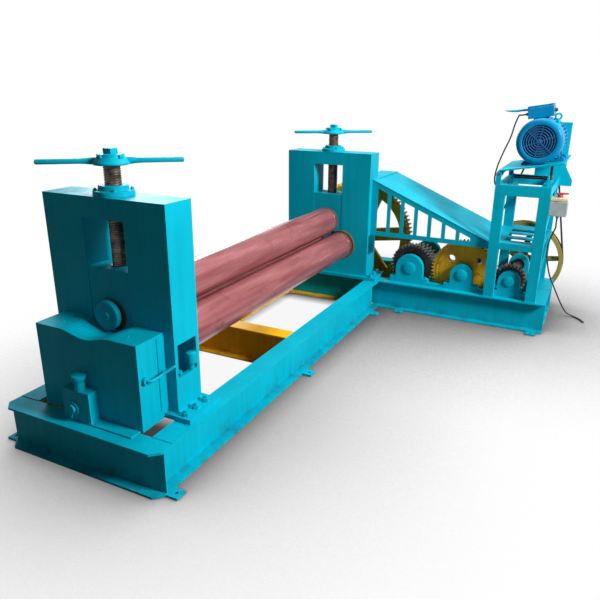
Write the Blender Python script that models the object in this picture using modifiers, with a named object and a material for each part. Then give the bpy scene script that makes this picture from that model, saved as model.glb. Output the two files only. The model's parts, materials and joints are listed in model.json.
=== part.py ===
# Three-roll plate bending machine, in metres, +Z up.
# The rolls lie along Y, the drive train stands on a side base towards +X.
# The origin is on the floor, under the middle of the bed's near cross beam.
import math

import bmesh
import bpy
from mathutils import Vector

# Sides of a round piece, and clearances
ROUND = 24
SEAT_GAP = 0.0003
RUN_GAP = 0.0008

# Rolled I beams of the bed and of the drive base
BEAM_HEIGHT = 0.25
BEAM_WIDTH = 0.125
BEAM_FLANGE = 0.0125
FLANGE_TAPER = 0.0015
BEAM_WEB = 0.008
BED_HALF_WIDTH = 0.516
CORNER_CHAMFER = 0.055
CROSS_BEAM_Y = 1.515
DRIVE_BASE_DEPTH = 0.804
DRIVE_BASE_END_X = 1.908

# Foundation lugs
LUG_WIDTH = 0.07
LUG_REACH = 0.068
LUG_THICK = 0.012
LUG_HOLE = 0.011
LUG_ROOT = 0.012

# Roll stands
STAND_Y = 0.273
STAND_HALF_WIDTH = 0.3925
STAND_THICK = 0.20
STAND_TOP = 1.35
STAND_WALL = 0.025
STAND_SPAN = 2.508
FOOT_THICK = 0.025
FOOT_HALF_WIDTH = 0.49
FOOT_REACH = 0.035
WINDOW_HALF_WIDTH = 0.135
WINDOW_TOP = 1.243
WINDOW_SILL = 0.637
GUIDE_WALL = 0.025
BOSS_HALF_WIDTH = 0.235
BOSS_TOP = 0.66
HAND_HOLE_LOW = 0.462
HAND_HOLE_HIGH = 0.641
STUD_X = 0.44
STUD_PITCH = 0.086
NUT_RADIUS = 0.0208
NUT_HEIGHT = 0.019
STUD_RADIUS = 0.012
STUD_PROUD = 0.012

# Rolls
ROLL_RADIUS = 0.1175
ROLL_END_GAP = 0.019
ROLL_CHAMFER = 0.008
LOWER_ROLL_X = 0.142
LOWER_ROLL_Z = 0.543
TOP_ROLL_Z = 0.753
LOWER_JOURNAL = 0.062
TOP_JOURNAL = 0.050
LOWER_NEAR_STUB = 0.058
BUSH_WALL = 0.018
BUSH_FLANGE_RADIUS = 0.130
BUSH_FLANGE_THICK = 0.0115
END_DISC_RADIUS = 0.078
END_DISC_THICK = 0.028
END_DISC_STANDOFF = 0.013

# Top roll blocks and screw-down gear
BLOCK_LOW = 0.655
BLOCK_HIGH = 0.99
BLOCK_SET_BACK = 0.002
SCREW_RADIUS = 0.0425
SCREW_ENGAGE = 0.045
NUT_SLEEVE_RADIUS = 0.055
NUT_LOW_RADIUS = 0.1025
NUT_LOW_HEIGHT = 0.025
NUT_TOP_RADIUS = 0.075
NUT_TOP_HEIGHT = 0.025
HUB_LOW = 1.495
HUB_RADIUS = 0.0915
HUB_HEIGHT = 0.04
HUB_COLLAR_RADIUS = 0.067
HUB_COLLAR_HEIGHT = 0.015
HUB_SQUARE = 0.05
HUB_SQUARE_HEIGHT = 0.026
BAR_RADIUS = 0.0125
BAR_LENGTH = 0.70
NEAR_BAR_TURN = math.radians(40.5)
FAR_BAR_TURN = math.radians(38.5)

# Roll end cover and its clamp, on the near side of the near stand
COVER_HALF_WIDTH = 0.33
COVER_DEPTH = 0.20
COVER_TOP = 0.712
COVER_WALL = 0.006
COVER_DIP_FRONT = 0.030
COVER_DIP_BACK = 0.062
COVER_DIP_HALF = 0.17
BRACKET_X = -0.035
BRACKET_WIDTH = 0.18
BRACKET_DEPTH = 0.066
BRACKET_HEIGHT = 0.165
BRACKET_WALL = 0.016
BRACKET_PAD = 0.008
BRACKET_PAD_WIDTH = 0.46
LOCK_PIN_Z = 0.325
LOCK_PIN_RADIUS = 0.022
LOCK_PIN_HEAD = 0.036
LOCK_PIN_INSERT = 0.012
CLAMP_BOLT_RADIUS = 0.009
CLAMP_BOLT_HEAD = 0.036
CLAMP_BOLT_TOP = 0.505
LEVER_RADIUS = 0.008
LEVER_Y = 0.11
LEVER_Z = 0.52
LEVER_BOSS = 0.02

# Lock pin in the near stand's side opening
STAND_PIN_RADIUS = 0.009
STAND_PIN_HEAD = 0.028
STAND_PIN_HEAD_LOW = 0.50
STAND_PIN_HEAD_HIGH = 0.56
STAND_PIN_DEPTH = 0.06
EYE_RADIUS = 0.034
EYE_THICK = 0.012

# Gear train: teeth, modules, face widths and setbacks behind the drive base's front
DRIVE_MODULE = 0.010
BULL_MODULE = 0.012
ROLL_GEAR_TEETH = 24
IDLER_TEETH = 18
BULL_TEETH = 85
PINION_1_TEETH = 22
GEAR_1_TEETH = 37
GEAR_2_TEETH = 54
PINION_3_TEETH = 23
ADDENDUM = 0.9
DEDENDUM = 1.2
PRESSURE_ANGLE = math.radians(20)
BACKLASH = 0.10
ROLL_GEAR_SETBACK = 0.26
ROLL_GEAR_WIDTH = 0.07
BULL_SETBACK = 0.44
BULL_WIDTH = 0.08
BULL_RIM = 0.065
BULL_WEB = 0.04
BULL_HUB_RADIUS = 0.12
BULL_HUB_LENGTH = 0.10
BULL_SPOKES = 6
BULL_SPOKE_WIDTH = 0.12
SPOKE_PHASE = 0.13
TRAIN_SETBACK = 0.19
TRAIN_WIDTH = 0.08
GEAR_2_HOLES = 4
GEAR_2_HOLE_PHASE = math.radians(135)
GEAR_2_HOLE_RADIUS = 0.033
GEAR_2_HOLE_CIRCLE = 0.16
IDLER_STUB_RADIUS = 0.030
IDLER_HEAD_RADIUS = 0.045
IDLER_HEAD_THICK = 0.014

# Drive shafts and their bearing plates
SHAFT_Z = 0.385
SHAFT_1_RADIUS = 0.040
SHAFT_2_RADIUS = 0.036
SHAFT_3_RADIUS = 0.034
FRONT_PLATE_SETBACK = 0.065
REAR_PLATE_INSET = 0.124
BEARING_PLATE_THICK = 0.055
BEARING_RADII = (0.120, 0.093, 0.087)
BEARING_FOOT = 0.05
BEARING_FOOT_HEIGHT = 0.05
BEARING_STRIP_HEIGHT = 0.022
SHAFT_PROUD = 0.005
BOLT_HEAD_RADIUS = 0.014
BOLT_HEAD_HEIGHT = 0.012

# Belt drive
BELT_WHEEL_STANDOFF = 0.076
BELT_WHEEL_WIDTH = 0.10
BELT_WHEEL_RADIUS = 0.355
BELT_WHEEL_RIM = 0.035
BELT_WHEEL_WEB = 0.022
BELT_WHEEL_HUB = 0.065
BELT_WHEEL_SPOKES = 5
BELT_WHEEL_SPOKE_WIDTH = 0.06
BELT_WIDTH = 0.07
BELT_THICK = 0.012
BELT_RECESS = 0.009
PULLEY_RADIUS = 0.066

# Drive tower
TOWER_LEFT = 1.42
TOWER_RIGHT = 1.83
TOWER_FRONT_SETBACK = 0.008
TOWER_BACK_INSET = 0.004
TOWER_TOP = 1.17
TOWER_LEG_WIDTH = 0.08
TOWER_FRONT_LEG_DEPTH = 0.056
TOWER_BACK_LEG_DEPTH = 0.0645
TOWER_BAR = 0.08
TOWER_CROSSBAR_LOW = 0.66
TOWER_CROSSBAR_HEIGHT = 0.045
TOWER_SHELF_THICK = 0.008
TOWER_BRACE = 0.04

# Tilting motor platform: u runs along the plate from its hinge, w stands square to it
TILT = math.radians(9.5)
HINGE_X = 1.4361
HINGE_Z = 1.2475
HINGE_PIN_RADIUS = 0.012
KNUCKLE_RADIUS = 0.024
KNUCKLE_LENGTH = 0.055
HINGE_LUG_RADIUS = 0.020
HINGE_LUG_THICK = 0.030
HINGE_LUG_INSET = 0.017
PLATFORM_LENGTH = 0.47
PLATFORM_LOW = 0.022
PLATFORM_THICK = 0.012
PLATFORM_FRONT_SETBACK = 0.010
PLATFORM_BACK_INSET = 0.034
TENSION_SCREW_X = 1.79
TENSION_SCREW_SETBACK = 0.36
TENSION_SCREW_RADIUS = 0.012
TENSION_SCREW_LOW = 1.02
TENSION_NUT_RADIUS = 0.024
TENSION_NUT_HEIGHT = 0.02
TENSION_HEAD_RADIUS = 0.02
TENSION_HEAD_HEIGHT = 0.014
TENSION_TIP_GAP = 0.0007

# Motor
MOTOR_U = 0.292
MOTOR_SHAFT_HEIGHT = 0.172
MOTOR_RADIUS = 0.1655
MOTOR_BACK_INSET = 0.194
MOTOR_LENGTH = 0.40
END_BELL_DEPTH = 0.05
END_BELL_RADIUS = 0.11
MOTOR_SHAFT_RADIUS = 0.021
MOTOR_SHAFT_INSERT = 0.08
FAN_COVER_LAP = 0.012
FAN_COVER_DEPTH = 0.14
FAN_COVER_WALL = 0.003
MOTOR_FOOT_SPREAD = 0.127
MOTOR_FOOT_WIDTH = 0.06
MOTOR_FOOT_THICK = 0.018
TERMINAL_HALF_WIDTH = 0.095
TERMINAL_HEIGHT = 0.095
TERMINAL_SETBACK = 0.07
TERMINAL_LENGTH = 0.18
SADDLE_HEIGHT = 0.004

# Belt guard plate behind the tower
BELT_GUARD_LEFT = 1.62
BELT_GUARD_RIGHT = 1.87
BELT_GUARD_FLARE = 1.932
BELT_GUARD_TOP = 1.617
BELT_GUARD_THICK = 0.004
BELT_GUARD_HOLE = 0.05

# Gear guard between the far stand and the tower
GUARD_WALL = 0.004
GUARD_FRONT_SETBACK = 0.056
GUARD_BACK_INSET = 0.104
GUARD_LOW = 0.645
GUARD_BAR = 0.040
GUARD_TOP_LEFT = 1.134
GUARD_TOP_RIGHT = 0.697
GUARD_FLAT_X = 0.25
GUARD_RAIL = 0.05
GUARD_LIP = 0.03
GUARD_SLOTS = 7
GUARD_SLOT_START = 0.448
GUARD_SLOT_PITCH = 0.121
GUARD_SLOT_WIDTH = 0.088

# Control box, switch and cables
BOX_DEPTH = 0.10
BOX_WIDTH = 0.128
BOX_FRONT_SETBACK = 0.020
BOX_LOW = 0.96
BOX_HIGH = 1.10
GLAND_RADIUS = 0.012
GLAND_LENGTH = 0.024
KNOB_RADIUS = 0.022
KNOB_HEIGHT = 0.02
KNOB_REACH = 0.06
CABLE_RADIUS = 0.006
CABLE_STEP = 0.036

# Values that follow from the driving dimensions
BED_NEAR_Y = -BEAM_WIDTH / 2
FAR_STAND_Y = STAND_Y + STAND_THICK + STAND_SPAN
DRIVE_BASE_Y = FAR_STAND_Y + 0.009
DRIVE_BASE_BACK_Y = DRIVE_BASE_Y + DRIVE_BASE_DEPTH
ROLL_GEAR_Y = DRIVE_BASE_Y + ROLL_GEAR_SETBACK
BULL_Y = DRIVE_BASE_Y + BULL_SETBACK
TRAIN_Y = DRIVE_BASE_Y + TRAIN_SETBACK
FRONT_PLATE_Y = DRIVE_BASE_Y + FRONT_PLATE_SETBACK
REAR_PLATE_Y = DRIVE_BASE_BACK_Y - REAR_PLATE_INSET
BELT_WHEEL_Y = DRIVE_BASE_BACK_Y + BELT_WHEEL_STANDOFF
TOWER_FRONT_Y = DRIVE_BASE_Y + TOWER_FRONT_SETBACK
TOWER_BACK_Y = DRIVE_BASE_BACK_Y - TOWER_BACK_INSET
PLATFORM_FRONT_Y = DRIVE_BASE_Y + PLATFORM_FRONT_SETBACK
PLATFORM_BACK_Y = DRIVE_BASE_BACK_Y - PLATFORM_BACK_INSET
TENSION_SCREW_Y = DRIVE_BASE_Y + TENSION_SCREW_SETBACK
MOTOR_BACK_Y = DRIVE_BASE_BACK_Y - MOTOR_BACK_INSET
MOTOR_FRONT_Y = MOTOR_BACK_Y - MOTOR_LENGTH
END_BELL_Y = MOTOR_BACK_Y + END_BELL_DEPTH
MOTOR_SHAFT_START = MOTOR_BACK_Y - MOTOR_SHAFT_INSERT
FAN_COVER_Y = MOTOR_FRONT_Y - FAN_COVER_DEPTH
TERMINAL_FRONT_Y = MOTOR_FRONT_Y + TERMINAL_SETBACK
TERMINAL_BACK_Y = TERMINAL_FRONT_Y + TERMINAL_LENGTH
GUARD_FRONT_Y = DRIVE_BASE_Y + GUARD_FRONT_SETBACK
GUARD_BACK_Y = DRIVE_BASE_BACK_Y - GUARD_BACK_INSET
BOX_FRONT_Y = DRIVE_BASE_Y + BOX_FRONT_SETBACK
STAND_FOOT_Z = BEAM_HEIGHT + SEAT_GAP
ROLL_NEAR_Y = STAND_Y + STAND_THICK + ROLL_END_GAP
ROLL_FAR_Y = FAR_STAND_Y - ROLL_END_GAP
ROLL_GEAR_PITCH = ROLL_GEAR_TEETH * DRIVE_MODULE / 2
IDLER_PITCH = IDLER_TEETH * DRIVE_MODULE / 2
IDLER_Z = LOWER_ROLL_Z - math.sqrt((ROLL_GEAR_PITCH + IDLER_PITCH) ** 2 - LOWER_ROLL_X ** 2)
BULL_REACH = (BULL_TEETH + PINION_1_TEETH) * BULL_MODULE / 2
SHAFT_1_X = LOWER_ROLL_X + math.sqrt(BULL_REACH ** 2 - (LOWER_ROLL_Z - SHAFT_Z) ** 2)
SHAFT_2_X = SHAFT_1_X + (GEAR_1_TEETH + GEAR_2_TEETH) * DRIVE_MODULE / 2
SHAFT_3_X = SHAFT_2_X + (GEAR_2_TEETH + PINION_3_TEETH) * DRIVE_MODULE / 2
SHAFT_XS = (SHAFT_1_X, SHAFT_2_X, SHAFT_3_X)
SHAFT_RADII = (SHAFT_1_RADIUS, SHAFT_2_RADIUS, SHAFT_3_RADIUS)
COVER_FRONT_Y = STAND_Y - SEAT_GAP - COVER_DEPTH
MOTOR_W = PLATFORM_LOW + PLATFORM_THICK + MOTOR_SHAFT_HEIGHT
MOTOR_X = HINGE_X + MOTOR_U * math.cos(TILT) - MOTOR_W * math.sin(TILT)
MOTOR_Z = HINGE_Z + MOTOR_U * math.sin(TILT) + MOTOR_W * math.cos(TILT)

for item in list(bpy.data.objects):
    bpy.data.objects.remove(item, do_unlink=True)

parts = bpy.data.collections.new("plate_bending_machine")
cutters = bpy.data.collections.new("cutters")
bpy.context.scene.collection.children.link(parts)
bpy.context.scene.collection.children.link(cutters)


def linear(channel):
    return channel / 12.92 if channel <= 0.04045 else ((channel + 0.055) / 1.055) ** 2.4


def material(name, red, green, blue, roughness, metallic):
    mat = bpy.data.materials.new(name)
    mat.use_nodes = True
    shader = mat.node_tree.nodes["Principled BSDF"]
    colour = tuple(linear(value / 255) for value in (red, green, blue))
    shader.inputs["Base Color"].default_value = colour + (1.0,)
    shader.inputs["Roughness"].default_value = roughness
    shader.inputs["Metallic"].default_value = metallic
    return mat


CYAN = material("cyan_paint", 0, 172, 200, 0.35, 0.0)
YELLOW = material("yellow_paint", 208, 154, 16, 0.45, 0.0)
ROLL_RED = material("roll_primer", 150, 84, 88, 0.4, 0.0)
STEEL = material("machined_steel", 96, 90, 84, 0.4, 1.0)
GREASED = material("greased_steel", 44, 40, 36, 0.3, 1.0)
BRONZE = material("bronze", 150, 110, 60, 0.4, 1.0)
OLIVE = material("olive_paint", 150, 134, 52, 0.45, 0.0)
BLUE = material("motor_paint", 14, 104, 162, 0.35, 0.0)
RUBBER = material("rubber", 28, 28, 28, 0.7, 0.0)
GREY = material("box_plastic", 196, 200, 196, 0.5, 0.0)
RED = material("red_plastic", 190, 60, 66, 0.45, 0.0)


def place(obj, mat):
    """A finished piece goes to the parts, a helper shape to the cutters."""
    if mat is None:
        cutters.objects.link(obj)
        obj.hide_render = True
        obj.display_type = "WIRE"
    else:
        parts.objects.link(obj)
        obj.data.materials.append(mat)
        obj.data.shade_smooth()
        obj.data.set_sharp_from_angle(angle=math.radians(35))
    return obj


def box(name, low, high, mat=None):
    mesh = bpy.data.meshes.new(name)
    bm = bmesh.new()
    bmesh.ops.create_cube(bm, size=1.0)
    bmesh.ops.scale(bm, vec=Vector(high) - Vector(low), verts=bm.verts)
    bm.to_mesh(mesh)
    bm.free()
    obj = bpy.data.objects.new(name, mesh)
    obj.location = (Vector(low) + Vector(high)) / 2
    return place(obj, mat)


AXIS_TURN = {"X": (0.0, math.pi / 2, 0.0), "Y": (-math.pi / 2, 0.0, 0.0), "Z": (0.0, 0.0, 0.0)}
PLANE_TURN = {"XY": (0.0, 0.0, 0.0), "XZ": (math.pi / 2, 0.0, 0.0), "YZ": (math.pi / 2, 0.0, math.pi / 2)}


def rod(name, centre, axis, radius, length, mat=None, sides=ROUND):
    mesh = bpy.data.meshes.new(name)
    bm = bmesh.new()
    bmesh.ops.create_cone(bm, cap_ends=True, segments=sides, radius1=radius, radius2=radius, depth=length)
    bm.to_mesh(mesh)
    bm.free()
    obj = bpy.data.objects.new(name, mesh)
    obj.location = centre
    obj.rotation_euler = AXIS_TURN[axis]
    return place(obj, mat)


def turned(name, profile, axis, origin, mat=None, closed=False, steps=ROUND):
    """A turned piece: radius and height pairs, down the outer side, spun about the axis."""
    mesh = bpy.data.meshes.new(name)
    points = [(radius, 0.0, height) for radius, height in profile]
    edges = [(i, i + 1) for i in range(len(points) - 1)]
    if closed:
        edges.append((len(points) - 1, 0))
    mesh.from_pydata(points, edges, [])
    obj = bpy.data.objects.new(name, mesh)
    obj.location = origin
    obj.rotation_euler = AXIS_TURN[axis]
    spin = obj.modifiers.new("spin", "SCREW")
    spin.steps = steps
    spin.render_steps = steps
    spin.use_merge_vertices = True
    spin.merge_threshold = 0.00001
    spin.use_smooth_shade = True
    return place(obj, mat)


def plate(name, loops, thickness, plane, centre, mat=None):
    """A flat outline with its holes, extruded to a thickness about its plane."""
    curve = bpy.data.curves.new(name, "CURVE")
    curve.dimensions = "2D"
    curve.fill_mode = "BOTH"
    curve.extrude = thickness / 2
    for loop in loops:
        spline = curve.splines.new("POLY")
        spline.points.add(len(loop) - 1)
        for point, (a, b) in zip(spline.points, loop):
            point.co = (a, b, 0.0, 1.0)
        spline.use_cyclic_u = True
    return from_curve(name, curve, centre, PLANE_TURN[plane], mat)


def from_curve(name, curve, centre, turn, mat):
    """The curve's solid as a mesh with its caps welded on."""
    flat = bpy.data.objects.new(name, curve)
    parts.objects.link(flat)
    graph = bpy.context.evaluated_depsgraph_get()
    mesh = bpy.data.meshes.new_from_object(flat.evaluated_get(graph))
    mesh.name = name
    bpy.data.objects.remove(flat, do_unlink=True)
    bpy.data.curves.remove(curve)
    bm = bmesh.new()
    bm.from_mesh(mesh)
    bmesh.ops.remove_doubles(bm, verts=bm.verts, dist=0.00001)
    bm.to_mesh(mesh)
    bm.free()
    mesh.materials.clear()
    obj = bpy.data.objects.new(name, mesh)
    obj.location = centre
    obj.rotation_euler = turn
    return place(obj, mat)


def tube(name, points, radius, mat=None, resolution=2):
    """A round wire along a line of points, with filled ends."""
    curve = bpy.data.curves.new(name, "CURVE")
    curve.dimensions = "3D"
    curve.bevel_depth = radius
    curve.bevel_resolution = resolution
    curve.use_fill_caps = True
    spline = curve.splines.new("POLY")
    spline.points.add(len(points) - 1)
    for point, place_at in zip(spline.points, points):
        point.co = (*place_at, 1.0)
    return from_curve(name, curve, (0.0, 0.0, 0.0), (0.0, 0.0, 0.0), mat)


def smooth_route(route, spacing):
    """Points a given distance apart on the smooth curve through the route's points."""
    knots = [Vector(point) for point in route]
    knots = [2 * knots[0] - knots[1]] + knots + [2 * knots[-1] - knots[-2]]
    fine = []
    for before, start, end, after in zip(knots, knots[1:], knots[2:], knots[3:]):
        for step in range(20):
            t = step / 20
            fine.append(0.5 * (2 * start + (end - before) * t
                               + (2 * before - 5 * start + 4 * end - after) * t ** 2
                               + (3 * start - before - 3 * end + after) * t ** 3))
    fine.append(knots[-2])
    length = sum((b - a).length for a, b in zip(fine, fine[1:]))
    count = max(2, round(length / spacing))
    picked = [fine[0]]
    walked = 0.0
    for a, b in zip(fine, fine[1:]):
        walked += (b - a).length
        if walked >= length * len(picked) / count - 1e-9 and len(picked) < count:
            picked.append(b)
    picked.append(fine[-1])
    return picked, length


def combine(obj, others, operation):
    for other in others:
        step = obj.modifiers.new(operation.lower(), "BOOLEAN")
        step.operation = operation
        step.object = other
    return obj


def join(obj, *others):
    return combine(obj, others, "UNION")


def cut(obj, *others):
    return combine(obj, others, "DIFFERENCE")


def circle(x, z, radius, sides=ROUND, phase=0.0):
    turns = [phase + math.tau * i / sides for i in range(sides)]
    return [(x + radius * math.cos(turn), z + radius * math.sin(turn)) for turn in turns]


def arc(x, z, radius, start, end, steps):
    return [(x + radius * math.cos(start + (end - start) * i / steps),
             z + radius * math.sin(start + (end - start) * i / steps)) for i in range(steps + 1)]


def i_section():
    """Outline of the rolled beam, with flanges that thin a little to their edges."""
    half_width = BEAM_WIDTH / 2
    half_web = BEAM_WEB / 2
    tip = BEAM_HEIGHT / 2 - BEAM_FLANGE
    inner = tip - FLANGE_TAPER
    outer = BEAM_HEIGHT / 2
    right = [(half_width, -outer), (half_width, -tip), (half_web, -inner),
             (half_web, inner), (half_width, tip), (half_width, outer)]
    left = [(-x, z) for x, z in reversed(right)]
    return right + left


def beam_along_y(name, x, start, end):
    return plate(name, [i_section()], end - start, "XZ", (x, (start + end) / 2, BEAM_HEIGHT / 2), CYAN)


def beam_along_x(name, y, start, end):
    return plate(name, [i_section()], end - start, "YZ", ((start + end) / 2, y, BEAM_HEIGHT / 2), CYAN)


def add_lug(beam, x, y, side):
    """A drilled lug at floor level; side is the unit step away from the beam."""
    step_x, step_y = side
    half = LUG_WIDTH / 2
    low = (min(x - step_x * LUG_ROOT, x + step_x * LUG_REACH) - half * abs(step_y),
           min(y - step_y * LUG_ROOT, y + step_y * LUG_REACH) - half * abs(step_x), SEAT_GAP)
    high = (max(x - step_x * LUG_ROOT, x + step_x * LUG_REACH) + half * abs(step_y),
            max(y - step_y * LUG_ROOT, y + step_y * LUG_REACH) + half * abs(step_x), LUG_THICK)
    join(beam, box("lug", low, high))
    reach = LUG_REACH * 0.55
    cut(beam, rod("lug_hole", (x + step_x * reach, y + step_y * reach, 0.0), "Z", LUG_HOLE, 0.1, sides=16))


def build_bed():
    outer = BED_HALF_WIDTH
    long_x = BED_HALF_WIDTH - BEAM_WIDTH / 2
    near = beam_along_x("bed_near_beam", 0.0, -outer, outer)
    for side in (-1, 1):
        corner = [(side * (outer - CORNER_CHAMFER), BED_NEAR_Y - 0.01), (side * (outer + 0.01), BED_NEAR_Y - 0.01),
                  (side * (outer + 0.01), BED_NEAR_Y + CORNER_CHAMFER)]
        cut(near, plate("corner", [corner], 2 * BEAM_HEIGHT, "XY", (0.0, 0.0, BEAM_HEIGHT / 2)))
        add_lug(near, side * outer, 0.02, (side, 0))
    long_start = -BED_NEAR_Y + SEAT_GAP
    long_end = DRIVE_BASE_Y - SEAT_GAP
    for name, side in (("bed_left_beam", -1), ("bed_right_beam", 1)):
        beam = beam_along_y(name, side * long_x, long_start, long_end)
        for lug_y in (CROSS_BEAM_Y - 0.03, long_end - 0.19):
            add_lug(beam, side * outer, lug_y, (side, 0))
    cross_end = BED_HALF_WIDTH - BEAM_WIDTH - SEAT_GAP
    beam_along_x("bed_cross_beam", CROSS_BEAM_Y, -cross_end, cross_end)

    front_y = DRIVE_BASE_Y + BEAM_WIDTH / 2
    back_y = DRIVE_BASE_BACK_Y - BEAM_WIDTH / 2
    front = beam_along_x("base_front_beam", front_y, -outer, DRIVE_BASE_END_X)
    back = beam_along_x("base_rear_beam", back_y, -outer, DRIVE_BASE_END_X)
    for lug_x in (0.72, DRIVE_BASE_END_X - 0.08):
        add_lug(front, lug_x, DRIVE_BASE_Y, (0, -1))
        add_lug(back, lug_x, DRIVE_BASE_BACK_Y, (0, 1))
    side_start = DRIVE_BASE_Y + BEAM_WIDTH + SEAT_GAP
    side_end = DRIVE_BASE_BACK_Y - BEAM_WIDTH - SEAT_GAP
    beam_along_y("base_left_beam", -long_x, side_start, side_end)
    beam_along_y("base_end_beam", DRIVE_BASE_END_X - BEAM_WIDTH / 2, side_start, side_end)


def build_stand(name, y):
    """A hollow plate housing with a through window for the top roll block."""
    middle = y + STAND_THICK / 2
    foot_top = STAND_FOOT_Z + FOOT_THICK
    body = box(name, (-STAND_HALF_WIDTH, y, foot_top - 0.005), (STAND_HALF_WIDTH, y + STAND_THICK, STAND_TOP), CYAN)
    join(body, box("foot", (-FOOT_HALF_WIDTH, y - FOOT_REACH, STAND_FOOT_Z),
                   (FOOT_HALF_WIDTH, y + STAND_THICK + FOOT_REACH, foot_top)))
    for side in (-1, 1):
        for step in range(3):
            spot = (side * STUD_X, y + step * STUD_PITCH)
            join(body, rod("nut", (*spot, foot_top + NUT_HEIGHT / 2 - 0.001), "Z", NUT_RADIUS,
                           NUT_HEIGHT + 0.002, sides=6))
            join(body, rod("stud", (*spot, foot_top + NUT_HEIGHT), "Z", STUD_RADIUS, 2 * STUD_PROUD, sides=6))
    cut(body, box("window", (-WINDOW_HALF_WIDTH, y - 0.1, WINDOW_SILL),
                  (WINDOW_HALF_WIDTH, y + STAND_THICK + 0.1, WINDOW_TOP)))
    inner = WINDOW_HALF_WIDTH + GUIDE_WALL
    outer = STAND_HALF_WIDTH - STAND_WALL
    low = foot_top + STAND_WALL
    high = STAND_TOP - STAND_WALL
    hollow = STAND_THICK - 2 * STAND_WALL
    for side in (-1, 1):
        loop = [(side * a, b) for a, b in ((BOSS_HALF_WIDTH, low), (outer, low), (outer, high), (inner, high),
                                           (inner, BOSS_TOP), (BOSS_HALF_WIDTH, BOSS_TOP))]
        cut(body, plate("hollow", [loop], hollow, "XZ", (0.0, middle, 0.0)))
        edge = side * STAND_HALF_WIDTH
        cut(body, box("hand_hole", (min(edge, edge - side * 2 * STAND_WALL) - 0.01, y + STAND_WALL, HAND_HOLE_LOW),
                      (max(edge, edge - side * 2 * STAND_WALL) + 0.01, y + STAND_THICK - STAND_WALL, HAND_HOLE_HIGH)))
    seat = LOWER_JOURNAL + RUN_GAP + BUSH_WALL + SEAT_GAP
    for side in (-1, 1):
        cut(body, rod("roll_bore", (side * LOWER_ROLL_X, middle, LOWER_ROLL_Z), "Y", seat, 2 * STAND_THICK, sides=ROUND))
    cut(body, rod("nut_bore", (0.0, middle, STAND_TOP), "Z", NUT_SLEEVE_RADIUS + SEAT_GAP,
                  2 * (STAND_TOP - WINDOW_TOP) + 0.02, sides=ROUND))
    return body


def build_stands():
    near = build_stand("near_stand", STAND_Y)
    far = build_stand("far_stand", FAR_STAND_Y)
    # Stub that carries the idler gear, with its retaining head
    back = FAR_STAND_Y + STAND_THICK
    shoulder = ROLL_GEAR_Y - ROLL_GEAR_WIDTH / 2 - RUN_GAP
    head = ROLL_GEAR_Y + ROLL_GEAR_WIDTH / 2 + RUN_GAP
    join(far, turned("idler_stub", [(0.0, head + IDLER_HEAD_THICK), (IDLER_HEAD_RADIUS, head + IDLER_HEAD_THICK),
                                    (IDLER_HEAD_RADIUS, head), (IDLER_STUB_RADIUS, head),
                                    (IDLER_STUB_RADIUS, shoulder), (IDLER_HEAD_RADIUS, shoulder),
                                    (IDLER_HEAD_RADIUS, back - 0.01), (0.0, back - 0.01)],
                     "Y", (0.0, 0.0, IDLER_Z), steps=ROUND))
    # Half-round eye and drilled sill for the lock pin, in the right side opening
    sill_x = STAND_HALF_WIDTH - STAND_WALL / 2
    eye_z = STAND_PIN_HEAD_LOW - 0.012
    eye_y = STAND_Y + STAND_WALL
    eye = plate("eye", [arc(0.0, 0.0, EYE_RADIUS, -0.1, math.pi + 0.1, 12)], EYE_THICK, "XY",
                (sill_x - 0.008, eye_y - 0.002, eye_z))
    join(near, eye)
    pin_y = STAND_Y + STAND_THICK - STAND_WALL - STAND_PIN_HEAD - 0.004
    cut(near, rod("pin_bore", (sill_x, pin_y, HAND_HOLE_LOW), "Z", STAND_PIN_RADIUS + RUN_GAP,
                  2 * STAND_PIN_DEPTH + 0.01, sides=16))
    shank = HAND_HOLE_LOW - STAND_PIN_DEPTH
    turned("stand_lock_pin", [(0.0, STAND_PIN_HEAD_HIGH), (STAND_PIN_HEAD - 0.004, STAND_PIN_HEAD_HIGH),
                              (STAND_PIN_HEAD, STAND_PIN_HEAD_HIGH - 0.004), (STAND_PIN_HEAD, STAND_PIN_HEAD_LOW),
                              (0.016, STAND_PIN_HEAD_LOW - 0.01), (0.016, HAND_HOLE_LOW + SEAT_GAP),
                              (STAND_PIN_RADIUS, HAND_HOLE_LOW + SEAT_GAP),
                              (STAND_PIN_RADIUS, shank), (0.0, shank)],
           "Z", (sill_x, pin_y, 0.0), CYAN, steps=16)


def build_bushes():
    """Flanged bushes of the two lower rolls, pressed into the stands from the roll side."""
    bore = LOWER_JOURNAL + RUN_GAP
    outside = bore + BUSH_WALL
    length = STAND_THICK - BLOCK_SET_BACK
    for stand, face, away in (("near", STAND_Y + STAND_THICK, -1), ("far", FAR_STAND_Y, 1)):
        for roll, side in (("front", 1), ("rear", -1)):
            flange_out = -away * (BUSH_FLANGE_THICK + SEAT_GAP)
            flange_in = -away * SEAT_GAP
            tail = away * length
            profile = [(outside, tail), (outside, flange_in), (BUSH_FLANGE_RADIUS, flange_in),
                       (BUSH_FLANGE_RADIUS, flange_out), (bore, flange_out), (bore, tail)]
            if away < 0:
                profile = list(reversed(profile))
            turned(f"{stand}_{roll}_bush", profile, "Y", (side * LOWER_ROLL_X, face, LOWER_ROLL_Z), BRONZE,
                   closed=True)


def roll_profile(journal, near_end, far_end):
    """Outer side of a roll from its far end to its near end, as radius and Y."""
    return [(0.0, far_end), (journal, far_end), (journal, ROLL_FAR_Y), (ROLL_RADIUS - ROLL_CHAMFER, ROLL_FAR_Y),
            (ROLL_RADIUS, ROLL_FAR_Y - ROLL_CHAMFER), (ROLL_RADIUS, ROLL_NEAR_Y + ROLL_CHAMFER),
            (ROLL_RADIUS - ROLL_CHAMFER, ROLL_NEAR_Y), (journal, ROLL_NEAR_Y), (journal, near_end), (0.0, near_end)]


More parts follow.
